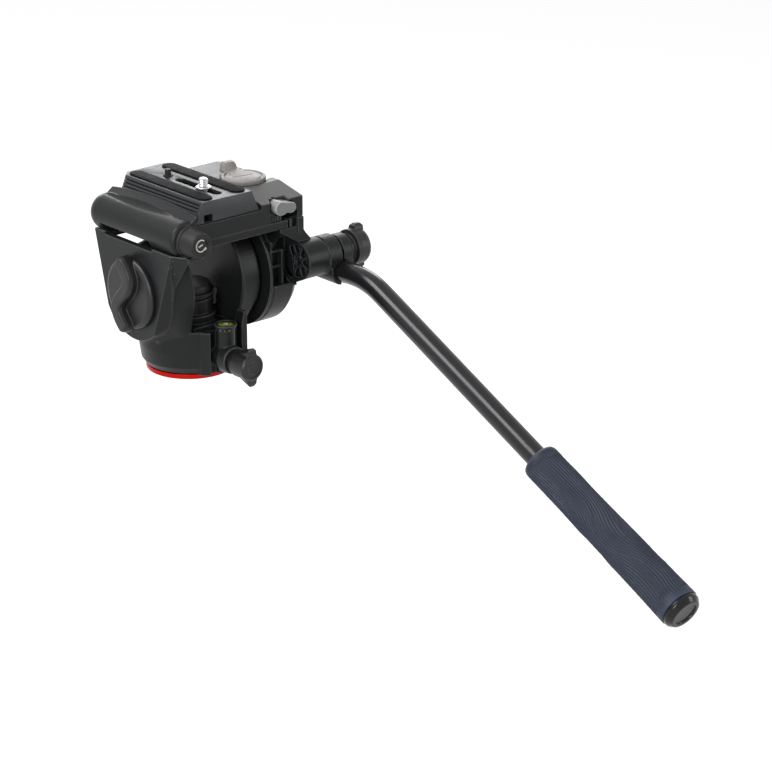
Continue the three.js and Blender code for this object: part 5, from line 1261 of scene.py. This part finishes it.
class FLUIDHEAD_OT_grip(bpy.types.Operator):
    """Moulds the ribbed grip and its gloss end cap"""

    bl_idname = "fluid_head.grip"
    bl_label = "Grip"

    def execute(self, context):
        near, far, slim, stout = -171.0, -312.0, 12.6, 13.9
        pitch, depth = sizes().rib_pitch / MM, sizes().rib_depth / MM
        count, waves = round(TAU * 13.2 / pitch), 5

        def ribs(radius, along, angle):
            """Fine ribs run along the grip, and sway with the terraces that cross it."""
            share = (near - along) / (near - far)
            if radius < 12 or not 0.03 < share < 0.965:
                return radius
            fade = min(1, (share - 0.03) / 0.015, (0.965 - share) / 0.015)
            middle = max(0, math.sin(math.pi * min(1, max(0, (share - 0.06) / 0.86)))) ** 0.6
            sway = middle * (0.34 * math.sin(share * 7.2 + 0.6) + 0.12 * math.sin(share * 15 + angle))
            rib = (0.5 - 0.5 * math.cos(count * (angle + sway))) ** 0.4
            step = (waves * (angle + 1.9 * sway + 0.5 * share) / TAU) % 1
            terrace = step / 0.9 if step < 0.9 else (1 - step) / 0.1
            return radius - fade * (depth * rib + sizes().terrace_depth / MM * middle * terrace)

        rows = [(SOCKET_BORE, near), (10.6, near), (12.1, near - 0.7), (slim, near - 2.2)]
        steps, ribbed = 150, 133.4
        for i in range(steps + 1):
            along = near - 3 - ribbed * i / steps
            rows.append((slim + (stout - slim) * (near - along) / (near - far), along))
        rows += [(stout, far + 0.3), (13.6, far), (7.1, far), (7.1, far + 8.3), (0, far + 8.3),
                 (0, near - 126.3), (SOCKET_BORE, near - 126.3), (SOCKET_BORE, near)]
        shape = placed(lathe(rows, "y", sides=count * 10, reach=ribs), grip_place())
        piece = machined(shaped("grip_ribbed", shape), 0, 70)
        fitted(piece, "grip_rubber", "pan_bar_arm", "pan_bar_grip")
        start = far - 0.3
        cap = [(0, start - 4.8), (8, start - 4.8), (8.3, start - 5.9), (10.8, start - 5.9),
               (13.3, start - 2.6), (13.3, start), (6.8, start), (6.8, far + 8), (0, far + 8)]
        shape = placed(lathe(softened(cap, 0.8, 8), "y", sides=128), grip_place())
        piece = shaped("grip_cap_moulding", shape)
        fitted(machined(piece, 0, 45), "grip_cap_black", "pan_bar_arm", "grip_end_cap")
        return {"FINISHED"}


class FLUIDHEAD_OT_bar_knob(bpy.types.Operator):
    """Moulds the wing knob that clamps the pan bar"""

    bl_idname = "fluid_head.bar_knob"
    bl_label = "Pan Bar Knob"

    def execute(self, context):
        profile = [(0, 0), (9.4, 0), (9.4, 3.4), (12.6, 3.7), (12.6, 12.6), (11.4, 14.8), (9.4, 16),
                   (6.2, 16), (6.2, 15.4), (0, 15.4)]
        piece = solid("bar_wing_knob", [
            ("+", lathe(profile, "x")),
            ("+", wings(14.5, 14.2, 5, 3.2, 5.6, 15.2, 2.2, lambda a, b, c: (b, a, c))),
            ("-", ring(15, 11.9, 5.2, 5.9, "x")),
            ("-", rod(2.8, -5, 9.2, "x"))], at(99.5, HUB[1], HUB[2] + TILT, "X", -3))
        fitted(moulded(piece, rounds=3), "knob_black", "pan_bar_lock", "pan_bar_knob")
        return {"FINISHED"}


class FLUIDHEAD_OT_fasteners(bpy.types.Operator):
    """Turns the cap screws of the base and the receiver, with their hexagon sockets"""

    bl_idname = "fluid_head.fasteners"
    bl_label = "Cap Screws"

    def execute(self, context):
        def screw(name, x, y, start, head, neck, top, length, body, node):
            outline = [(0, start), (head, start), (head, top), (neck, top), (neck, start + length),
                       (0, start + length)]
            socket = [(x + head * 0.5 * math.cos(math.pi * k / 3), y + head * 0.5 * math.sin(math.pi * k / 3))
                      for k in range(6)]
            piece = solid(name, [("+", lathe(softened(outline, 0.3), centre=(x, y, 0), sides=48)),
                                 ("-", prism(socket, start - 1, start + 1.1))])
            fitted(machined(piece, 0, 35), "steel", body, node)
        for i, degrees in enumerate((30, 150, 270)):
            angle = math.radians(degrees)
            screw("base_cap_screw_%d" % (i + 1), 17 * math.cos(angle), 17 * math.sin(angle), 0.3, 3, 1.5,
                  2.1, 6, "tripod_base", "base_screw_%d" % (i + 1))
        for i, (x, y) in enumerate(RECEIVER_SCREWS):
            screw("receiver_cap_screw_%d" % (i + 1), x, y, TILT + 35.5, 3.6, 2, TILT + 37.9, 10,
                  "tilt_yoke", "receiver_screw_%d" % (i + 1))
        return {"FINISHED"}


INNER = {
    "steel": ("pan_shaft", "pan_drag_rotor", "pan_bearing", "pan_lock_screw", "drum_screw_1",
              "drum_screw_2", "left_tilt_shaft", "right_tilt_shaft", "counterbalance_spring",
              "tilt_lock_bolt", "locking_jaw", "drag_selector_rod", "lever_pivot_pin",
              "release_button_spring", "screw_carriage", "pin_spring", "clamp_bolt"),
    "brass": ("left_tilt_bush", "right_tilt_bush", "pan_lock_pad"),
    "polymer": ("pan_drag_cartridge", "tilt_drag_cartridge"),
}


class FLUIDHEAD_OT_inner_pieces(bpy.types.Operator):
    """Gives the shafts, springs and bushes of the frame their finishes"""

    bl_idname = "fluid_head.inner_pieces"
    bl_label = "Inner Pieces"

    def execute(self, context):
        for slot, names in INNER.items():
            for name in names:
                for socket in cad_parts[name].material_slots:
                    socket.material = finish(slot)
        return {"FINISHED"}


def seen_rays(tree):
    """1 for the rays that show the background: to the camera, off gloss and through glass."""
    path = add(tree, "ShaderNodeLightPath")
    shown = add(tree, "ShaderNodeMath", {"operation": "ADD"},
                {0: path.outputs["Is Camera Ray"], 1: path.outputs["Is Glossy Ray"]})
    return add(tree, "ShaderNodeMath", {"operation": "ADD", "use_clamp": True},
               {0: shown.outputs[0], 1: path.outputs["Is Transmission Ray"]})


class FLUIDHEAD_OT_stage(bpy.types.Operator):
    """Sets the floor, the lamps and the camera"""

    bl_idname = "fluid_head.stage"
    bl_label = "Stage"

    def execute(self, context):
        scene = context.scene
        stage = scene.fluid_head_stage
        height = cad_low.z - stage.floor_gap
        half, glow_strength, ambient = 16, 0.88, 0.12
        floor = bpy.data.meshes.new("floor")
        floor.from_pydata([(x, y, height) for x, y in ((-half, -half), (half, -half), (half, half),
                                                       (-half, half))], [], [(0, 1, 2, 3)])
        floor = added("floor", floor)
        material, tree, shader, spot = started("Matt painted floor")
        material.node_tree.nodes.remove(shader)
        paint = add(tree, "ShaderNodeBsdfDiffuse", {"Color": (*stage.floor_colour, 1)})
        glow = add(tree, "ShaderNodeEmission", {"Color": (1, 1, 1, 1), "Strength": glow_strength})
        seen = seen_rays(tree)
        lit = add(tree, "ShaderNodeAddShader", None, {0: paint.outputs[0], 1: glow.outputs[0]})
        out = next(n for n in tree.nodes if n.type == "OUTPUT_MATERIAL")
        mix = add(tree, "ShaderNodeMixShader", None, {0: seen.outputs[0], 1: paint.outputs[0],
                                                      2: lit.outputs[0]})
        tree.links.new(mix.outputs[0], out.inputs["Surface"])
        floor.data.materials.append(material)

        world = bpy.data.worlds.new("Studio")
        scene.world = world
        world.use_nodes = True
        sky = world.node_tree.nodes["Background"]
        sky.inputs["Color"].default_value = (1, 1, 1, 1)
        values = {"From Min": 0, "From Max": 1, "To Min": ambient, "To Max": 1}
        seen = seen_rays(world.node_tree)
        light = add(world.node_tree, "ShaderNodeMapRange", values, {"Value": seen.outputs[0]})
        world.node_tree.links.new(light.outputs["Result"], sky.inputs["Strength"])

        def lamp(name, place, aim, size, power):
            data = bpy.data.lights.new(name, "AREA")
            data.shape, data.size, data.size_y = "RECTANGLE", size[0], size[1]
            data.energy = power
            thing = bpy.data.objects.new(name, data)
            thing.location = place
            thing.rotation_euler = (Vector(aim) - Vector(place)).to_track_quat("-Z", "Y").to_euler()
            scene.collection.objects.link(thing)
        lamp("softbox_above", (-0.8, 0.25, 1.15), (0, 0, 0.05), (0.8, 0.7), 15)
        lamp("softbox_left", (-1.35, -0.95, 0.6), (0, -0.05, 0.05), (0.6, 0.8), 14)
        lamp("softbox_right", (1.05, -1.3, 0.45), (0.05, -0.1, 0.05), (0.4, 0.9), 5)
        lamp("softbox_back", (0.38, 0.46, 0.34), (0, 0, 0.12), (0.7, 0.22), 2.4)

        a, e = stage.azimuth, stage.elevation
        back = Vector((math.sin(a) * math.cos(e), -math.cos(a) * math.cos(e), math.sin(e)))
        data = bpy.data.cameras.new("camera")
        data.lens, data.sensor_width, data.clip_start, data.clip_end = stage.lens, 36, 0.05, 30
        camera = bpy.data.objects.new("camera", data)
        camera.location = stage.camera_place
        camera.rotation_euler = (-back).to_track_quat("-Z", "Y").to_euler()
        scene.collection.objects.link(camera)
        scene.camera = camera
        scene.view_settings.view_transform = "Standard"
        return {"FINISHED"}


OPERATORS = (
    FLUIDHEAD_OT_base, FLUIDHEAD_OT_pan_housing, FLUIDHEAD_OT_turret, FLUIDHEAD_OT_level,
    FLUIDHEAD_OT_pan_lock, FLUIDHEAD_OT_yoke, FLUIDHEAD_OT_drum, FLUIDHEAD_OT_tilt_lock,
    FLUIDHEAD_OT_receiver, FLUIDHEAD_OT_drag_selector, FLUIDHEAD_OT_lever, FLUIDHEAD_OT_release_button,
    FLUIDHEAD_OT_plate, FLUIDHEAD_OT_camera_screw, FLUIDHEAD_OT_clamp, FLUIDHEAD_OT_bar,
    FLUIDHEAD_OT_grip, FLUIDHEAD_OT_bar_knob, FLUIDHEAD_OT_fasteners, FLUIDHEAD_OT_inner_pieces,
    FLUIDHEAD_OT_stage,
)
GROUPS = {"fluid_head_finishes": HeadFinishes, "fluid_head_sizes": HeadSizes,
          "fluid_head_stage": StageSettings}


class FLUIDHEAD_PT_panel(bpy.types.Panel):
    """The head's settings and its pieces"""

    bl_idname = "FLUIDHEAD_PT_panel"
    bl_label = "Fluid Head"
    bl_space_type = "VIEW_3D"
    bl_region_type = "UI"
    bl_category = "Fluid Head"

    def draw(self, context):
        layout = self.layout
        for operator in OPERATORS:
            layout.operator(operator.bl_idname)
        for name, group in GROUPS.items():
            box = layout.box()
            for setting in group.__annotations__:
                box.prop(getattr(context.scene, name), setting)


def register():
    for group in GROUPS.values():
        bpy.utils.register_class(group)
    for name, group in GROUPS.items():
        setattr(bpy.types.Scene, name, PointerProperty(type=group))
    for operator in OPERATORS:
        bpy.utils.register_class(operator)
    bpy.utils.register_class(FLUIDHEAD_PT_panel)


def unregister():
    bpy.utils.unregister_class(FLUIDHEAD_PT_panel)
    for operator in reversed(OPERATORS):
        bpy.utils.unregister_class(operator)
    for name, group in GROUPS.items():
        delattr(bpy.types.Scene, name)
        bpy.utils.unregister_class(group)


def main():
    register()
    for operator in OPERATORS:
        group, name = operator.bl_idname.split(".")
        getattr(getattr(bpy.ops, group), name)()


if __name__ == "__main__":
    main()
